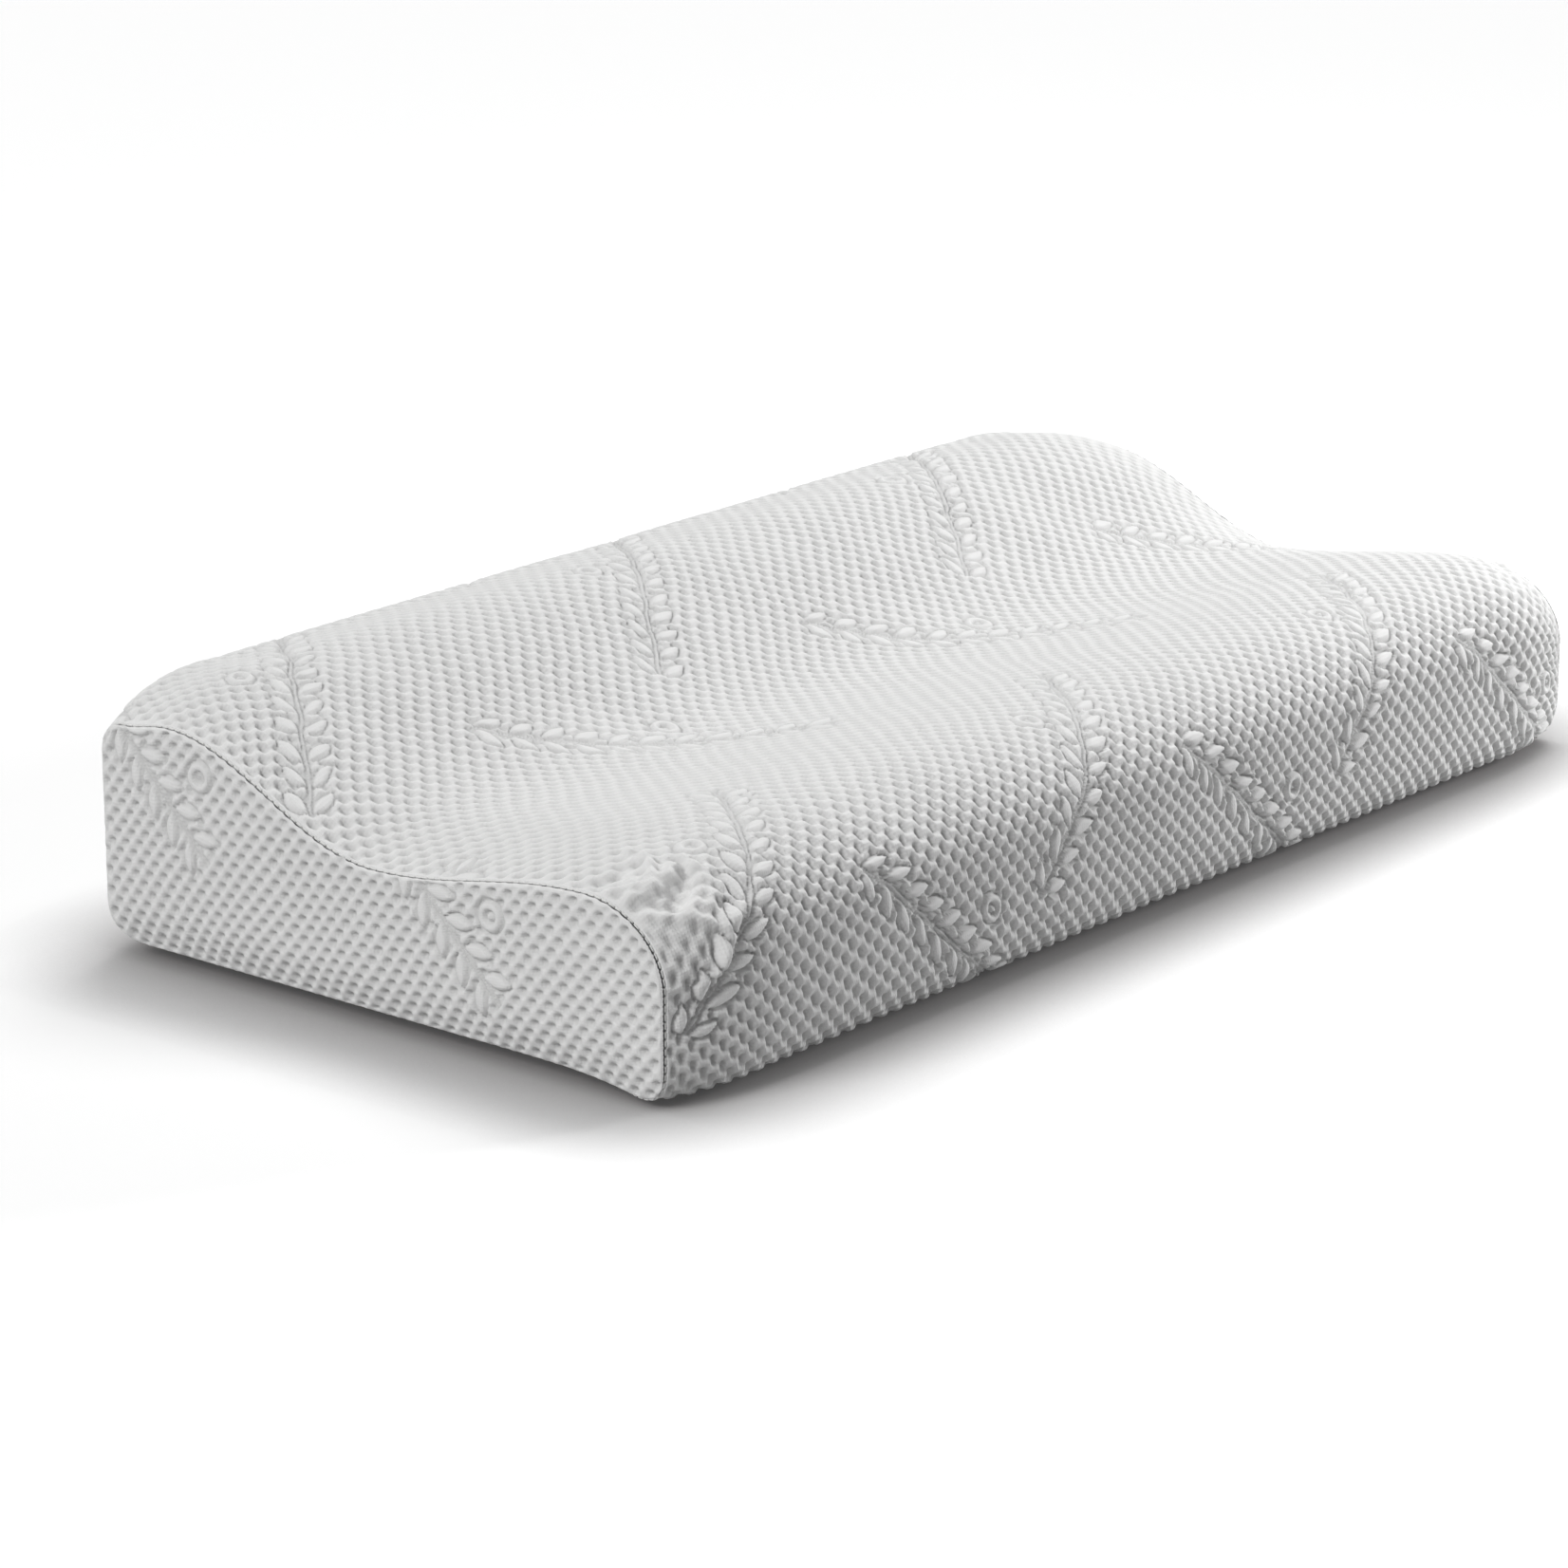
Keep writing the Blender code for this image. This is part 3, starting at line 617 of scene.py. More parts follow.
def settle_cloth(grid, held, pressure, slack, most, frames=20):
    """Lets a panel of cloth settle under pressure from inside; returns how far each point moves out.

    held marks the points that are sewn or lain on, and most is the largest movement kept.
    """
    rows, columns = grid.shape[:2]
    mesh = bpy.data.meshes.new("panel_on_trial")
    mesh.from_pydata(grid.reshape(-1, 3).tolist(), [], grid_faces(rows, columns).tolist())
    panel = bpy.data.objects.new("panel_on_trial", mesh)
    bpy.context.scene.collection.objects.link(panel)
    pins = panel.vertex_groups.new(name="sewn")
    pins.add(np.flatnonzero(held.ravel()).tolist(), 1.0, "REPLACE")
    cloth = panel.modifiers.new("cloth", "CLOTH")
    cloth.settings.vertex_group_mass = "sewn"
    cloth.settings.quality = 6
    cloth.settings.mass = 0.12
    cloth.settings.tension_stiffness = 30
    cloth.settings.compression_stiffness = 30
    cloth.settings.shear_stiffness = 12
    cloth.settings.bending_stiffness = 1.5
    cloth.settings.air_damping = 6
    cloth.settings.use_pressure = True
    cloth.settings.uniform_pressure_force = pressure
    cloth.settings.shrink_min = -slack
    cloth.settings.effector_weights.gravity = 0
    cloth.point_cache.frame_end = frames
    scene = bpy.context.scene
    for number in range(1, frames + 1):
        scene.frame_set(number)
    settled = panel.evaluated_get(bpy.context.evaluated_depsgraph_get()).to_mesh()
    places = np.empty(len(settled.vertices) * 3, np.float32)
    settled.vertices.foreach_get("co", places)
    moved = ((places.reshape(grid.shape) - grid) * outward(grid)).sum(axis=-1)
    bpy.data.objects.remove(panel, do_unlink=True)
    scene.frame_set(1)
    return moved * min(1, most / np.abs(moved).max())


def spread_over(field, rows_at, columns_at, rows, columns):
    """A coarse grid's values, smoothly read at finer rows and columns."""
    across = np.array([np.interp(columns, columns_at, line) for line in field])
    return np.array([np.interp(rows, rows_at, line) for line in across.T]).T


coarse_along = even(-WRAP_END, WRAP_END, 0.008)
coarse_around = even(0, GIRTH, 0.008)
wrap_swell = np.zeros((len(coarse_along), len(coarse_around)))
trial = wrap_grid(coarse_along, coarse_around, 0.0008)
under = (coarse_around > UNDERSIDE[0]) & (coarse_around < UNDERSIDE[1])
held = np.zeros(trial.shape[:2], bool)
held[[0, -1]] = True
held[:, [0, 1, -2, -1]] = True
held[:, under] = True
wrap_swell = settle_cloth(trial, held, 1.0, 0.02, 0.0016)

hem = [(WRAP_END - 0.006, COVER_THICKNESS), (WRAP_END - 0.001, COVER_THICKNESS)]
hem.append((WRAP_END, COVER_THICKNESS - 0.0004))
for turn in np.radians(np.linspace(0, 90, 7)):
    hem.append((WRAP_END - HEM_ROUND * (1 - math.cos(turn)), HEM_ROUND * (1 - math.sin(turn))))
flat_half = WRAP_END - HEM_ROUND
close_in = flat_half - np.cumsum(np.linspace(0.0005, FINE_STEP, 6))
half_rows = hem + [(place, 0.0) for place in close_in]
inner_rows = even(-close_in[-1], close_in[-1], FINE_STEP)[1:-1]
outer_x, outer_inset = np.array(half_rows).T
rows_x = np.concatenate((-outer_x, inner_rows, outer_x[::-1]))
rows_inset = np.concatenate((outer_inset, np.zeros(len(inner_rows)), outer_inset[::-1]))

# The two lips: each edge of the panel rounds over beside the zip.
LIP_ROUND = 0.0016
lip = [(0.0, COVER_THICKNESS - 0.0004)]
for turn in np.radians(np.linspace(0, 90, 5)):
    lip.append((LIP_ROUND * (1 - math.cos(turn)), LIP_ROUND * (1 - math.sin(turn))))
lip_at, lip_inset = np.array(lip).T
columns_s = np.concatenate((
    lip_at,
    even(lip_at[-1] + FINE_STEP / 2, UNDERSIDE[0], FINE_STEP),
    even(UNDERSIDE[0] + UNDER_STEP, UNDERSIDE[1] - UNDER_STEP, UNDER_STEP),
    even(UNDERSIDE[1], GIRTH - lip_at[-1] - FINE_STEP / 2, FINE_STEP),
    GIRTH - lip_at[::-1],
))
columns_inset = np.zeros(len(columns_s))
columns_inset[: len(lip)] = lip_inset
columns_inset[-len(lip) :] = lip_inset[::-1]


def crumple(x, around):
    """(height, looseness) of the loose folds where the wrap goes round a front top corner of the core."""
    rand = np.random.default_rng(12)
    total = np.zeros(np.broadcast(x, around).shape)
    for side, strength, folds in ((-1, 0.0032, 11), (1, 0.0009, 6)):
        for k in range(folds):
            from_end = rand.uniform(0.004, 0.030)
            middle = rand.uniform(0.074, 0.122) - 0.5 * (from_end - 0.016)
            turn = rand.uniform(-0.5, 1.1)
            long, wide = rand.uniform(0.009, 0.019), rand.uniform(0.0020, 0.0036)
            across = x - side * (WRAP_END - from_end)
            a = across * math.cos(turn) + (around - middle) * math.sin(turn)
            b = (around - middle) * math.cos(turn) - across * math.sin(turn) - 25 * a * a
            way = -0.7 if k % 3 == 0 else 1
            total = total + way * strength * np.exp(-((a / long) ** 4) - (b / wide) ** 2)
    inward = (WRAP_END - np.abs(x) - 0.014) / 0.016
    loose = np.exp(-(inward**2) - ((around - 0.100) / 0.026) ** 2) * np.where(x < 0, 1, 0.4)
    return np.clip(total, -0.0026, 0.0040), loose


fabric_x = rows_x[:, None]
fabric_s = columns_s[None, :]
from_front = UNDERSIDE[0] - fabric_s  # distance up from the front's bottom edge
to_seam = np.clip(WRAP_END - np.abs(fabric_x), 0, None)
to_lip = np.minimum(fabric_s, GIRTH - fabric_s)

# The cloth is stretched unevenly, so its rows wander a little.
shifted_x = fabric_x + 0.0011 * drift(fabric_x, fabric_s, 0.16, seed=3)
shifted_x = shifted_x + 0.0003 * drift(fabric_x, fabric_s, 0.03, seed=4)
shifted_s = from_front + 0.0012 * drift(fabric_x, fabric_s, 0.18, seed=5)
shifted_s = shifted_s + 0.0003 * drift(fabric_x, fabric_s, 0.03, seed=6)
height = knit_height(-shifted_x - 0.085 * shifted_s, shifted_s, 0.12, 0.30)
sprig_x = fabric_x + 0.0007 * drift(fabric_x, fabric_s, 0.035, seed=14)
sprig_s = from_front + 0.0007 * drift(fabric_x, fabric_s, 0.035, seed=15)
sprig_mask, sprig_height = sprigs(sprig_x, sprig_s)
height = height + (sprig_height - height) * sprig_mask
on_front = 1 - wave((from_front - FRONT_PADS_TOP) / FRONT_PADS_FADE)
depth = RELIEF_DEPTH + (FRONT_RELIEF - RELIEF_DEPTH) * on_front
depth = depth * (1 + 0.14 * drift(fabric_x, fabric_s, 0.09, seed=8))
seam_edge = 0.0006 * drift(fabric_x, fabric_s, 0.02, seed=16) - 0.0004
fade = wave((to_seam + seam_edge) / SEAM_FADE) * wave((to_lip - LIP_PLAIN) / 0.005)
pucker = 0.00035 * drift(fabric_s, 0 * fabric_x, 0.022, seed=9) * np.exp(-to_seam / 0.010)
fold, loose = crumple(fabric_x, from_front)
fade = fade * (1 - 0.45 * loose)
proud = (height - 1) * depth * fade - SEAM_FLAT * (1 - fade) + pucker * wave(to_seam / 0.003)
proud = proud + spread_over(wrap_swell, coarse_along, coarse_around, rows_x, columns_s)
proud = proud + fold * wave(to_seam / 0.005)
inset = rows_inset[:, None] + columns_inset[None, :] * (rows_inset[:, None] == 0)
wrap_points = wrap_grid(rows_x, columns_s, inset - proud)

# Beyond the ends of the zip the two lips are sewn together.
pinch = (LIP_EDGE - 0.0003) * wave((np.abs(fabric_x) - SLOT_END) / 0.014)
pinch = pinch * np.exp(-((to_lip / 0.010) ** 2))
wrap_points[..., 2] += pinch * np.where(fabric_s < GIRTH / 2, -1, 1)
wrap_points[..., 2] = np.maximum(wrap_points[..., 2], 0.0)
wrap_uv = np.stack(np.meshgrid(
    np.r_[0, np.cumsum(np.maximum(np.abs(np.diff(rows_x)), 0.0004))],
    np.r_[0, np.cumsum(np.maximum(np.diff(columns_s), 0.0004))],
    indexing="ij",
), axis=-1)
CLOTH_SPAN = 0.82  # metres of cloth over one width of its map
# Knit colours: the darker one is painted shade for the dimples, the lighter one is the yarn on the pads.
KNIT_PAINTED_DIMPLE_SHADE = (0.52, 0.52, 0.516)
KNIT_HIGH = (0.735, 0.735, 0.731)


def make_grain_group():
    """Fine loops of a knit: courses and wales of yarn, and the fuzz on them."""
    group, given, result = shader_group(
        "knit_grain",
        [("Vector", "Vector", None), ("Loops", "Float", 900.0), ("Fuzz", "Float", 0.4)],
        [("Height", "Float", None)],
    )
    links = group.links
    heights = []
    for direction, share in (("X", 1.0), ("Y", 0.72)):
        scale = node(group, "ShaderNodeMath", operation="MULTIPLY")
        scale.inputs[1].default_value = share / 3.1416
        links.new(given.outputs["Loops"], scale.inputs[0])
        yarn = node(group, "ShaderNodeTexWave", bands_direction=direction, Distortion=1.2, Detail=1.5)
        yarn.inputs["Detail Scale"].default_value = 1.0
        links.new(given.outputs["Vector"], yarn.inputs["Vector"])
        links.new(scale.outputs[0], yarn.inputs["Scale"])
        heights.append(yarn.outputs["Fac"])
    loops = node(group, "ShaderNodeMath", operation="MULTIPLY")
    links.new(heights[0], loops.inputs[0])
    links.new(heights[1], loops.inputs[1])
    fuzz = node(group, "ShaderNodeTexNoise", Detail=3.0, Roughness=0.7)
    links.new(given.outputs["Vector"], fuzz.inputs["Vector"])
    links.new(given.outputs["Loops"], fuzz.inputs["Scale"])
    mixed = node(group, "ShaderNodeMath", operation="MULTIPLY_ADD")
    links.new(fuzz.outputs["Fac"], mixed.inputs[0])
    links.new(given.outputs["Fuzz"], mixed.inputs[1])
    links.new(loops.outputs[0], mixed.inputs[2])
    links.new(mixed.outputs[0], result.inputs["Height"])
    return group


knit_grain = make_grain_group()


def cover_finish():
    """White double knit: matt yarn with a soft sheen, with painted shade making it a touch greyer down in
    the dimples.
    """
    made, tree, shader = start_material("cover_knit", 0.88, sheen=0.25)
    tone = tint(tree, shader, KNIT_HIGH, 0.012, 0.05)
    # Painted shade: the pad height mixes the colour greyer down in the dimples.
    low = node(tree, "ShaderNodeAttribute", attribute_name="pad_height")
    painted_dimple_shade = tree.nodes.new("ShaderNodeMix")
    painted_dimple_shade.data_type = "RGBA"
    painted_dimple_shade.inputs["A"].default_value = (*KNIT_PAINTED_DIMPLE_SHADE, 1)
    painted_dimple_shade.inputs["B"].default_value = (*KNIT_HIGH, 1)
    tree.links.new(low.outputs["Fac"], painted_dimple_shade.inputs["Factor"])
    tree.links.new(painted_dimple_shade.outputs["Result"], tone.inputs["Color"])
    cloth = node(tree, "ShaderNodeUVMap", uv_map="OFBake")
    grain = node(tree, "ShaderNodeGroup", node_tree=knit_grain)
    grain.inputs["Loops"].default_value = 900.0 * CLOTH_SPAN
    grain.inputs["Fuzz"].default_value = 0.5
    tree.links.new(cloth.outputs["UV"], grain.inputs["Vector"])
    relief(tree, shader, grain.outputs["Height"], 0.0002, 0.5)
    return made


cover_knit = cover_finish()


def mark_painted_shade_heights(piece, values):
    # The pad heights, 0 in the dimples and 1 on the pads, set how much painted shade the knit's colour
    # takes.
    layer = piece.data.attributes.new("pad_height", "FLOAT", "POINT")
    layer.data.foreach_set("value", np.clip(values, 0, 1).astype(np.float32).ravel())


cover_wrap = add_piece(
    "knit_cover_wrap", wrap_points, grid_faces(*wrap_points.shape[:2]), cover_knit, "cover_knit",
    replaces=["cover_wrap"], uv=wrap_uv / CLOTH_SPAN,
)
mark_painted_shade_heights(cover_wrap, 1 + (height - 1) * fade)


# ---- Knit cover, end panels ------------------------------------------------------------
# A panel of the same knit closes each end. Its edge is sewn to the wrap all round, with the
# seam turned in, and the panel stands a little proud between its seams.
END_FACE = HALF_LENGTH - 0.0004
END_ROUND = 0.0017
END_CROWN = 0.0006
END_SWELL = 0.0012
END_RELIEF = 0.0027
END_STRETCH = 1.125  # the ends' knit is stretched less than the wrap's, so its repeats are closer
END_SPRIGS = ((-0.105, 0.070), (0.040, 0.046))  # place of each sprig across the panel and up
END_SPRIG_LEAN = math.radians(-45)
RING_INSET = 0.0008
GRAIN_LEAN = math.radians(6)
END_STEP = 0.0008


def edge_steps(length, step):
    """0 to 1 over length, in even steps that get closer at both edges."""
    close = np.array([0, 0.0003, 0.0007, 0.0012, 0.0018, 0.0026])
    inner = even(close[-1] + step, length - close[-1] - step, step)
    return np.concatenate((close, inner, length - close[::-1])) / length


def between(points, start, end, shares):
    """Points along a closed outline from one distance to another, at the given shares."""
    run = np.r_[0, np.cumsum(np.hypot(*np.diff(points, axis=0).T))]
    at = (start + (end - start) * shares) % run[-1]
    return np.column_stack([np.interp(at, run, points[:, k]) for k in (0, 1)])


def fill_edges(bottom, top, front, rear, u, v):
    """A grid of points that fills four edges; u runs along bottom and top, v along front and rear."""
    u = u[:, None, None]
    v = v[None, :, None]
    edges = (1 - v) * bottom[:, None] + v * top[:, None] + (1 - u) * front[None] + u * rear[None]
    low_corners = (1 - u) * (1 - v) * bottom[0] + u * (1 - v) * bottom[-1]
    high_corners = (1 - u) * v * top[0] + u * v * top[-1]
    return edges - (low_corners + high_corners)


seam_ring = wrap_grid([WRAP_END - 0.0001, WRAP_END], even(0, GIRTH, 0.001), RING_INSET)[1][:, 1:]
seam_ring = np.concatenate((seam_ring, seam_ring[:1]))
run = np.r_[0, np.cumsum(np.hypot(*np.diff(seam_ring, axis=0).T))]


def at_corner(y, z):
    return run[np.hypot(seam_ring[:, 0] - y, seam_ring[:, 1] - z).argmin()]


rear_top = at_corner(0.138, 0.093)
front_top = at_corner(-0.131, 0.067)
front_low = at_corner(-0.132, 0.010)
rear_low = at_corner(0.134, 0.010)
edge_u = edge_steps(front_top - rear_top, END_STEP)
edge_v = edge_steps(0.070, END_STEP)


def end_outline(u, v):
    """The end panel's outline between its four corners, filled with points at the shares u and v."""
    return fill_edges(
        between(seam_ring, rear_low, front_low, 1 - u),
        between(seam_ring, front_top, rear_top, u),
        between(seam_ring, front_low, front_top, v),
        between(seam_ring, rear_low, rear_top + run[-1], v),
        u,
        v,
    )


end_yz = end_outline(edge_u, edge_v)
coarse_u = np.linspace(0, 1, 39)
coarse_v = np.linspace(0, 1, 13)
end_swell = np.zeros((len(coarse_u), len(coarse_v)))
trial = np.insert(end_outline(coarse_u, coarse_v), 0, END_FACE, axis=-1)
held = np.ones(trial.shape[:2], bool)
held[1:-1, 1:-1] = False
end_swell = settle_cloth(trial, held, 1.0, 0.02, END_SWELL)
end_swell = spread_over(end_swell, coarse_u, coarse_v, edge_u, edge_v)
fine_ring = between(seam_ring, 0, run[-1], np.linspace(0, 1, 1600, endpoint=False))
to_edge = np.array([np.hypot(*(line[:, None] - fine_ring[None]).T).min(axis=0) for line in end_yz])


def end_panel(side, name, solid, seed):
    """One end panel; side is -1 for the end at -X."""
    y, z = end_yz[..., 0], end_yz[..., 1]
    right = side * y
    across = right * math.cos(GRAIN_LEAN) + z * math.sin(GRAIN_LEAN)
    up = z * math.cos(GRAIN_LEAN) - right * math.sin(GRAIN_LEAN)
    across = across * END_STRETCH + 0.0006 * drift(right, z, 0.10, seed=seed)
    up = up * END_STRETCH + 0.0006 * drift(right, z, 0.10, seed=seed + 1)
    high = knit_height(across, up, 0.0, 0.20)
    mask = np.zeros(high.shape)
    motif = np.zeros(high.shape)
    for centre, rise in END_SPRIGS:
        a = (right - centre) * math.cos(END_SPRIG_LEAN) + (z - rise) * math.sin(END_SPRIG_LEAN)
        b = (z - rise) * math.cos(END_SPRIG_LEAN) - (right - centre) * math.sin(END_SPRIG_LEAN)
        m, h = leaf_sprig(a, b, SPRIG_LENGTH * 0.45)
        motif = np.where(m > mask, h, motif)
        mask = np.maximum(mask, m)
    high = high + (motif - high) * mask
    fade = wave((to_edge + 0.0006 * drift(y, z, 0.02, seed=seed + 2)) / SEAM_FADE)
    round_in = END_ROUND - np.sqrt(END_ROUND**2 - np.clip(END_ROUND - to_edge, 0, END_ROUND) ** 2)
    crown = END_CROWN * (1 - np.exp(-to_edge / 0.02)) + np.abs(end_swell)
    tuck = END_LEAN_SHARE * lean_in(y, z)
    out = END_FACE - round_in + crown - tuck + (high - 1) * END_RELIEF * fade
    points = np.stack((side * out, y, z), axis=-1)
    points[..., 2] = np.maximum(points[..., 2], 0.0)
    faces = grid_faces(*points.shape[:2])
    if side < 0:
        faces = faces[:, ::-1]
    uv = np.stack(np.meshgrid(edge_u * 0.3, edge_v * 0.1, indexing="ij"), axis=-1) / CLOTH_SPAN
    piece = add_piece(name, points, faces, cover_knit, "cover_knit", replaces=[solid], uv=uv)
    mark_painted_shade_heights(piece, 1 + (high - 1) * fade)


end_panel(-1, "knit_cover_end_left", "cover_end_left", 21)
end_panel(1, "knit_cover_end_right", "cover_end_right", 31)


# ---- Seam threads ----------------------------------------------------------------------
# Polyester thread holds the wrap and each end panel together. It lies as a row of short
# stitches down in the valley of the seam, all the way round.
SEAM_STITCH = 0.0032
SEAM_THREAD = 0.00032
SEAM_THREAD_PLACE = WRAP_END + 0.00025
SEAM_THREAD_INSET = 0.0006


def stitch_row(path, out, pitch, radius, dip):
    """(points, faces) of separate stitches along a path; out is the cloth's outward side at each point.

    Each stitch rises from the cloth, runs along it and goes down again by dip at its ends.
    """
    run = np.r_[0, np.cumsum(np.linalg.norm(np.diff(path, axis=0), axis=1))]
    count = int(run[-1] / pitch)
    starts = np.arange(count)[:, None] * run[-1] / count
    shares = np.array([0.06, 0.14, 0.32, 0.62, 0.80, 0.88])
    at = starts + shares * run[-1] / count
    middle = np.stack([np.interp(at, run, path[:, k]) for k in range(3)], axis=-1)
    away = unit(np.stack([np.interp(at, run, out[:, k]) for k in range(3)], axis=-1))
    middle = middle - away * (dip * (2 * shares - 0.94) ** 4)[None, :, None]
    forward = unit(np.gradient(middle, axis=1))
    side = unit(np.cross(forward, away))
    away = np.cross(side, forward)
    turn = np.arange(6) * math.pi / 3
    size = radius * np.array([0.35, 1, 1, 1, 1, 0.35])[None, :, None, None]
    ring = side[:, :, None] * np.cos(turn)[:, None] + away[:, :, None] * np.sin(turn)[:, None]
    points = middle[:, :, None] + ring * size
    one = np.array(close_ring(points[0])[:-2])
    faces = (one[None] + 36 * np.arange(count)[:, None, None]).reshape(-1, 4).tolist()
    caps = np.arange(count)[:, None] * 36
    faces += (caps + np.arange(6)).tolist() + (caps + 35 - np.arange(6)).tolist()
    return points, faces


def thread_finish():
    made, tree, shader = start_material("sewing_thread", 0.6, sheen=0.15)
    tint(tree, shader, (0.72, 0.72, 0.71), 0.004, 0.06)
    place = tree.nodes.new("ShaderNodeTexCoord")
    twist = node(tree, "ShaderNodeTexWave", bands_direction="DIAGONAL", Scale=900.0)
    tree.links.new(place.outputs["Object"], twist.inputs["Vector"])
    relief(tree, shader, twist.outputs["Fac"], 0.0001, 0.6)
    return made


sewing_thread = thread_finish()
for side, end in ((-1, "left"), (1, "right")):
    seam_place = [side * SEAM_THREAD_PLACE, side * (SEAM_THREAD_PLACE + 0.0001)]
    seam_path = wrap_grid(seam_place, even(0, GIRTH, 0.001), SEAM_THREAD_INSET)[0]
    seam_out = seam_path - wrap_grid(seam_place, even(0, GIRTH, 0.001), SEAM_THREAD_INSET + 0.001)[0]
    add_piece(
        "seam_stitches_" + end, *stitch_row(seam_path, seam_out, SEAM_STITCH, SEAM_THREAD, 0.0003),
        sewing_thread, "sewing_thread", replaces=["seam_thread_" + end],
    )


# ---- Zip tapes -------------------------------------------------------------------------
# Two herringbone tapes lie under the lips of the cover, each sewn to its lip. They carry the
# coils along their inner edges.
TAPE_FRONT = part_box("zip_tape_upper")[1][1]
TAPE_THICKNESS = 0.0005
TAPE_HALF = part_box("zip_tape_upper")[1][0]
TAPE_EDGE_ROUND = 0.00022
TAPE_INNER = 0.0006  # zip centre line to the tape's inner edge
TAPE_WIDTH = 0.0114


def slab(face, thick):
    """(points, faces) of cloth as thick as given, from the grid of its outer face."""
    normal = outward(face)
    rim = np.zeros(face.shape[:2])
    rim[[0, -1]] = 1
    rim[:, [0, -1]] = 1
    lower = (rim * TAPE_EDGE_ROUND)[..., None]
    points = np.concatenate((face - normal * lower, face - normal * (thick - lower)))
    rows, columns = face.shape[:2]
    index = np.arange(2 * rows * columns).reshape(2, rows, columns)
    top = grid_faces(rows, columns)
    under = top[:, ::-1] + rows * columns
    edge = np.concatenate(
        (index[:, 0, :-1].T, index[:, :-1, -1].T, index[:, -1, :0:-1].T, index[:, :0:-1, 0].T)
    )
    following = np.roll(edge, -1, axis=0)
    sides = np.column_stack((edge[:, 0], edge[:, 1], following[:, 1], following[:, 0]))
    return points, np.concatenate((top, under, sides)).tolist()


def make_weave_group():
    """Threads of a close weave, slanting; at each Turn the slant changes over, as in herringbone."""
    group, given, result = shader_group(
        "slanting_weave",
        [("Vector", "Vector", None), ("Threads", "Float", 8000.0), ("Turn", "Float", 0.002)],
        [("Height", "Float", None)],
    )
    links = group.links
    parts = group.nodes.new("ShaderNodeSeparateXYZ")
    links.new(given.outputs["Vector"], parts.inputs["Vector"])
    turned = node(group, "ShaderNodeMath", operation="PINGPONG")
    links.new(parts.outputs["Z"], turned.inputs[0])
    links.new(given.outputs["Turn"], turned.inputs[1])
    slant = node(group, "ShaderNodeMath", operation="ADD")
    links.new(parts.outputs["X"], slant.inputs[0])
    links.new(turned.outputs[0], slant.inputs[1])
    phase = node(group, "ShaderNodeMath", operation="MULTIPLY")
    links.new(slant.outputs[0], phase.inputs[0])
    links.new(given.outputs["Threads"], phase.inputs[1])
    swing = node(group, "ShaderNodeMath", operation="SINE")
    links.new(phase.outputs[0], swing.inputs[0])
    height = node(group, "ShaderNodeMath", operation="MULTIPLY_ADD")
    height.inputs[1].default_value = 0.5
    height.inputs[2].default_value = 0.5
    links.new(swing.outputs[0], height.inputs[0])
    links.new(height.outputs[0], result.inputs["Height"])
    return group


slanting_weave = make_weave_group()


def woven_finish(name, colour, roughness, threads, turn):
    made, tree, shader = start_material(name, roughness, sheen=0.15)
    tint(tree, shader, colour, 0.006, 0.05)
    place = tree.nodes.new("ShaderNodeTexCoord")
    weave = node(tree, "ShaderNodeGroup", node_tree=slanting_weave)
    weave.inputs["Threads"].default_value = threads
    weave.inputs["Turn"].default_value = turn
    tree.links.new(place.outputs["Object"], weave.inputs["Vector"])
    relief(tree, shader, weave.outputs["Height"], 0.00015, 0.6)
    return made


zip_tape = woven_finish("zip_tape", (0.80, 0.80, 0.79), 0.8, 9000.0, 0.0016)
TAPE_OUTER = TAPE_INNER + TAPE_WIDTH
for name, low_z, high_z in (("upper", TAPE_INNER, TAPE_OUTER), ("lower", -TAPE_OUTER, -TAPE_INNER)):
    tape_x, tape_z = np.meshgrid(
        even(-TAPE_HALF, TAPE_HALF, 0.002), even(high_z, low_z, 0.0008), indexing="ij"
    )
    sag = 0.0001 * drift(tape_x, tape_z, 0.05, seed=41)
    tape_face = np.stack((tape_x, TAPE_FRONT - 0.0001 + sag, ZIP_HEIGHT + tape_z), axis=-1)
    tape = add_piece(
        "zip_tape_" + name + "_woven", *slab(tape_face, TAPE_THICKNESS - 0.0001), zip_tape, "zip_tape",
        replaces=["zip_tape_" + name],
    )


# ---- Zip coils -------------------------------------------------------------------------
# Nylon thread wound into an oval coil runs along the inner edge of each tape, round a filler
# cord. The two rows lie half a turn apart, so that their heads can grip each other.
COIL_PITCH = 0.0014
COIL_THREAD = 0.00028
FILLER_CORD = 0.00035
COIL_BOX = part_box("zip_coil_upper")
COIL_HEAD = COIL_BOX[0][2] - ZIP_HEIGHT
COIL_BACK = COIL_BOX[1][2] - ZIP_HEIGHT


def tube(path, out, radius, sides):
    """(points, faces) of a round bar along a path; out is a direction that is never along the path."""
    forward = unit(np.gradient(path, axis=0))
    side = unit(np.cross(forward, out))
    away = np.cross(side, forward)
    turn = np.arange(sides) * 2 * math.pi / sides
    ring = side[:, None] * np.cos(turn)[:, None] + away[:, None] * np.sin(turn)[:, None]
    points = path[:, None] + radius * ring
    return points, close_ring(points)


def nylon_finish(name, colour, roughness):
    made, tree, shader = start_material(name, roughness)
    tint(tree, shader, colour, 0.01, 0.04)
    shader.inputs["Coat Weight"].default_value = 0.2
    shader.inputs["Specular IOR Level"].default_value = 0.5
    return made


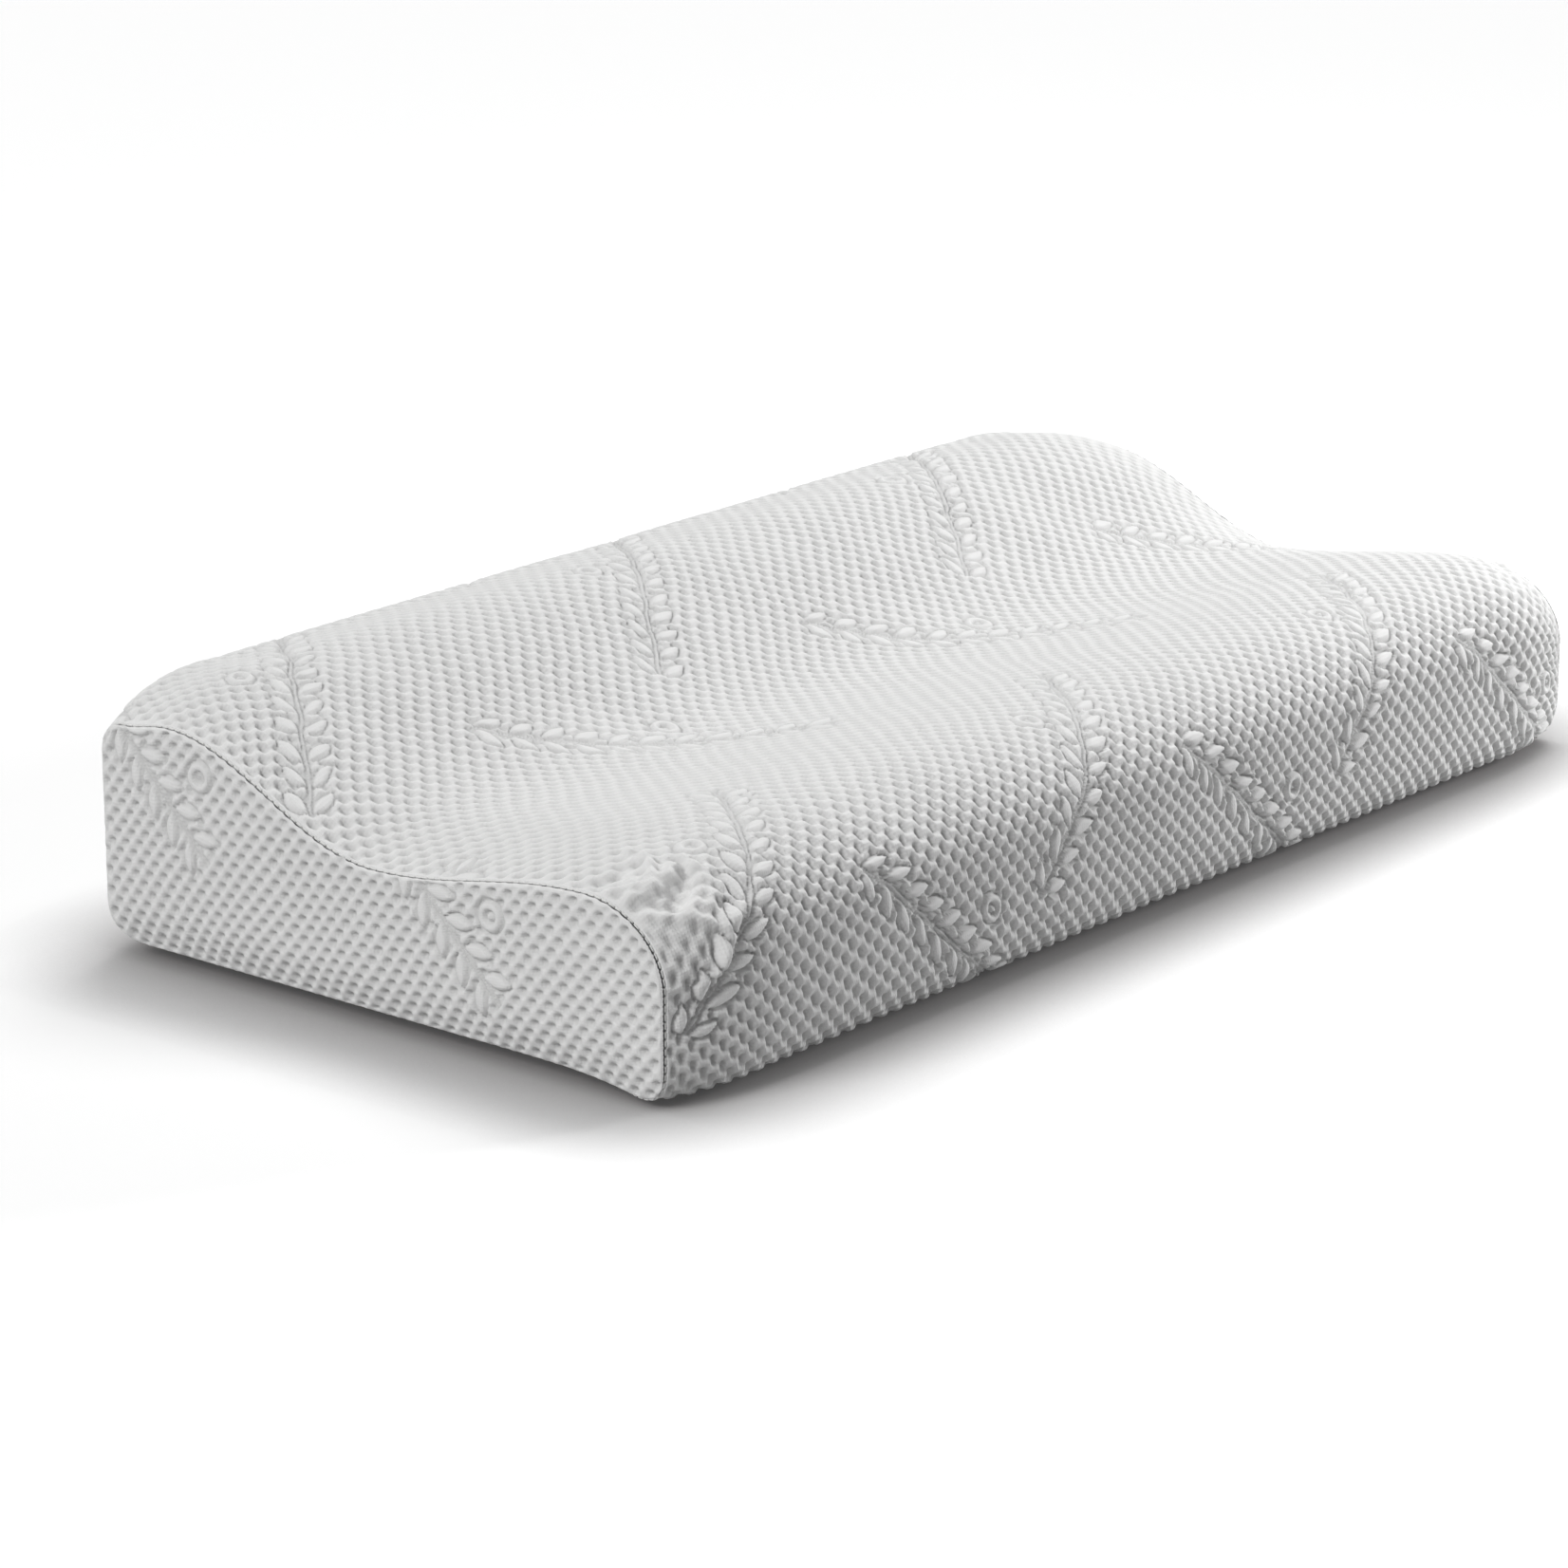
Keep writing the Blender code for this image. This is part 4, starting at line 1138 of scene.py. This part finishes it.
zip_nylon = nylon_finish("zip_coil", (0.80, 0.80, 0.79), 0.35)
for name, way, start in (("upper", 1, 0.0), ("lower", -1, math.pi)):
    coil_length = COIL_BOX[1][0] - COIL_BOX[0][0] - 2 * COIL_THREAD
    turns = np.arange(0, coil_length / COIL_PITCH, 0.1)
    angle = 2 * math.pi * turns + start
    reach = (COIL_BACK - COIL_HEAD) / 2 - COIL_THREAD
    rise = (COIL_BOX[1][1] - COIL_BOX[0][1]) / 2 - COIL_THREAD
    coil_path = np.column_stack((
        COIL_BOX[0][0] + COIL_THREAD + turns * COIL_PITCH,
        (COIL_BOX[0][1] + COIL_BOX[1][1]) / 2 + rise * np.sin(angle),
        ZIP_HEIGHT + way * ((COIL_HEAD + COIL_BACK) / 2 + reach * np.cos(angle)),
    ))
    core_line = coil_path[[0, -1]] * (1, 0, 0) + coil_path.mean(axis=0) * (0, 1, 1)
    coil, coil_faces = tube(coil_path, np.array([1.0, 0, 0]), COIL_THREAD, 5)
    filler, filler_faces = tube(core_line, np.array([0, 1.0, 0]), FILLER_CORD, 6)
    first = coil.size // 3
    filler_faces = [[first + i for i in face] for face in filler_faces]
    add_piece(
        "zip_coil_" + name + "_wound", np.concatenate((coil.reshape(-1, 3), filler.reshape(-1, 3))),
        coil_faces + filler_faces, zip_nylon, "zip_coil", replaces=["zip_coil_" + name],
    )


# ---- Zip stops -------------------------------------------------------------------------
# A small block of nylon is moulded over both coils at each end of the zip and stops the slider.
zip_stop_nylon = nylon_finish("zip_stop", (0.74, 0.74, 0.74), 0.45)


def rounded_block(low, high, squareness):
    """(points, faces) of a block with soft edges between two corners; 1 is a ball, near 0 a sharp box."""
    middle, half = (np.array(low) + np.array(high)) / 2, (np.array(high) - np.array(low)) / 2
    turn, tilt = np.meshgrid(
        np.arange(32) * math.pi / 16, np.radians(np.linspace(-88, 88, 17)), indexing="ij"
    )
    swell = [np.cos(turn) * np.cos(tilt), np.sin(turn) * np.cos(tilt), np.sin(tilt)]
    shape = np.stack([np.sign(part) * np.abs(part) ** squareness for part in swell], axis=-1)
    points = middle + half * shape / np.abs(shape).max(axis=(0, 1))
    return points.transpose(1, 0, 2), close_ring(points.transpose(1, 0, 2))


for name in ("closed", "open"):
    add_piece(
        "zip_stop_" + name + "_moulded", *rounded_block(*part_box("zip_stop_" + name), 0.35),
        zip_stop_nylon, "zip_stop", replaces=["zip_stop_" + name],
    )


# ---- Zip slider and pull ---------------------------------------------------------------
# The slider and its flat pull are die-cast zinc, painted white. The slider runs on the coils
# and the pull swings on the slider's bail.
def painted_metal_finish():
    made, tree, shader = start_material("zip_metal", 0.38)
    tint(tree, shader, (0.80, 0.80, 0.79), 0.003, 0.06)
    shader.inputs["Coat Weight"].default_value = 0.3
    place = tree.nodes.new("ShaderNodeTexCoord")
    skin = node(tree, "ShaderNodeTexNoise", Scale=2500.0, Detail=2.0)
    tree.links.new(place.outputs["Object"], skin.inputs["Vector"])
    relief(tree, shader, skin.outputs["Fac"], 0.00003, 0.5)
    return made


zip_metal = painted_metal_finish()
for name in ("zip_slider", "zip_pull"):
    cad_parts[name].data.materials.clear()
    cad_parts[name].data.materials.append(zip_metal)


# ---- Zip stitches ----------------------------------------------------------------------
# One row of lockstitches beside each lip holds the cover to the zip tape under it.
ZIP_STITCH = 0.0030
ZIP_STITCH_OUT = 0.0059
ZIP_STITCH_THREAD = 0.00026
zip_line_x = even(-SLOT_END, SLOT_END, 0.001)
for name, way in (("upper", 1), ("lower", -1)):
    zip_line = np.column_stack((
        zip_line_x,
        np.full(len(zip_line_x), REAR - PLACKET_DEPTH),
        np.full(len(zip_line_x), ZIP_HEIGHT + way * ZIP_STITCH_OUT),
    ))
    zip_line_out = np.tile([0, 1.0, 0], (len(zip_line_x), 1))
    add_piece(
        "zip_stitches_" + name, *stitch_row(zip_line, zip_line_out, ZIP_STITCH, ZIP_STITCH_THREAD, 0.0004),
        sewing_thread, "sewing_thread", replaces=["zip_stitch_" + name],
    )


# ---- Care label ------------------------------------------------------------------------
# A blank woven satin label on the rear wall, caught in the seam of the right end above the zip.
LABEL_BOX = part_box("care_label")
LABEL_THICK = 0.0004
LABEL_OFF = 0.0007
label_satin = woven_finish("label_satin", (0.84, 0.84, 0.83), 0.5, 16000.0, 1.0)
label_x = even(LABEL_BOX[0][0], LABEL_BOX[1][0], 0.001)
label_s = even(LABEL_BOX[0][2], LABEL_BOX[1][2], 0.001) - ZIP_HEIGHT - LIP_EDGE
label_loose = ((LABEL_BOX[1][0] - label_x) / (LABEL_BOX[1][0] - LABEL_BOX[0][0]))[:, None] ** 2
label_wave = 0.0003 * label_loose * (1.2 + drift(label_x[:, None], label_s[None, :], 0.03, seed=51))
label_swell = spread_over(wrap_swell, coarse_along, coarse_around, label_x, label_s)
label_face = wrap_grid(label_x, label_s, -(LABEL_OFF + LABEL_THICK + label_wave + label_swell))
care_label = add_piece(
    "care_label_satin", *slab(label_face, LABEL_THICK), label_satin, "label_satin", replaces=["care_label"]
)
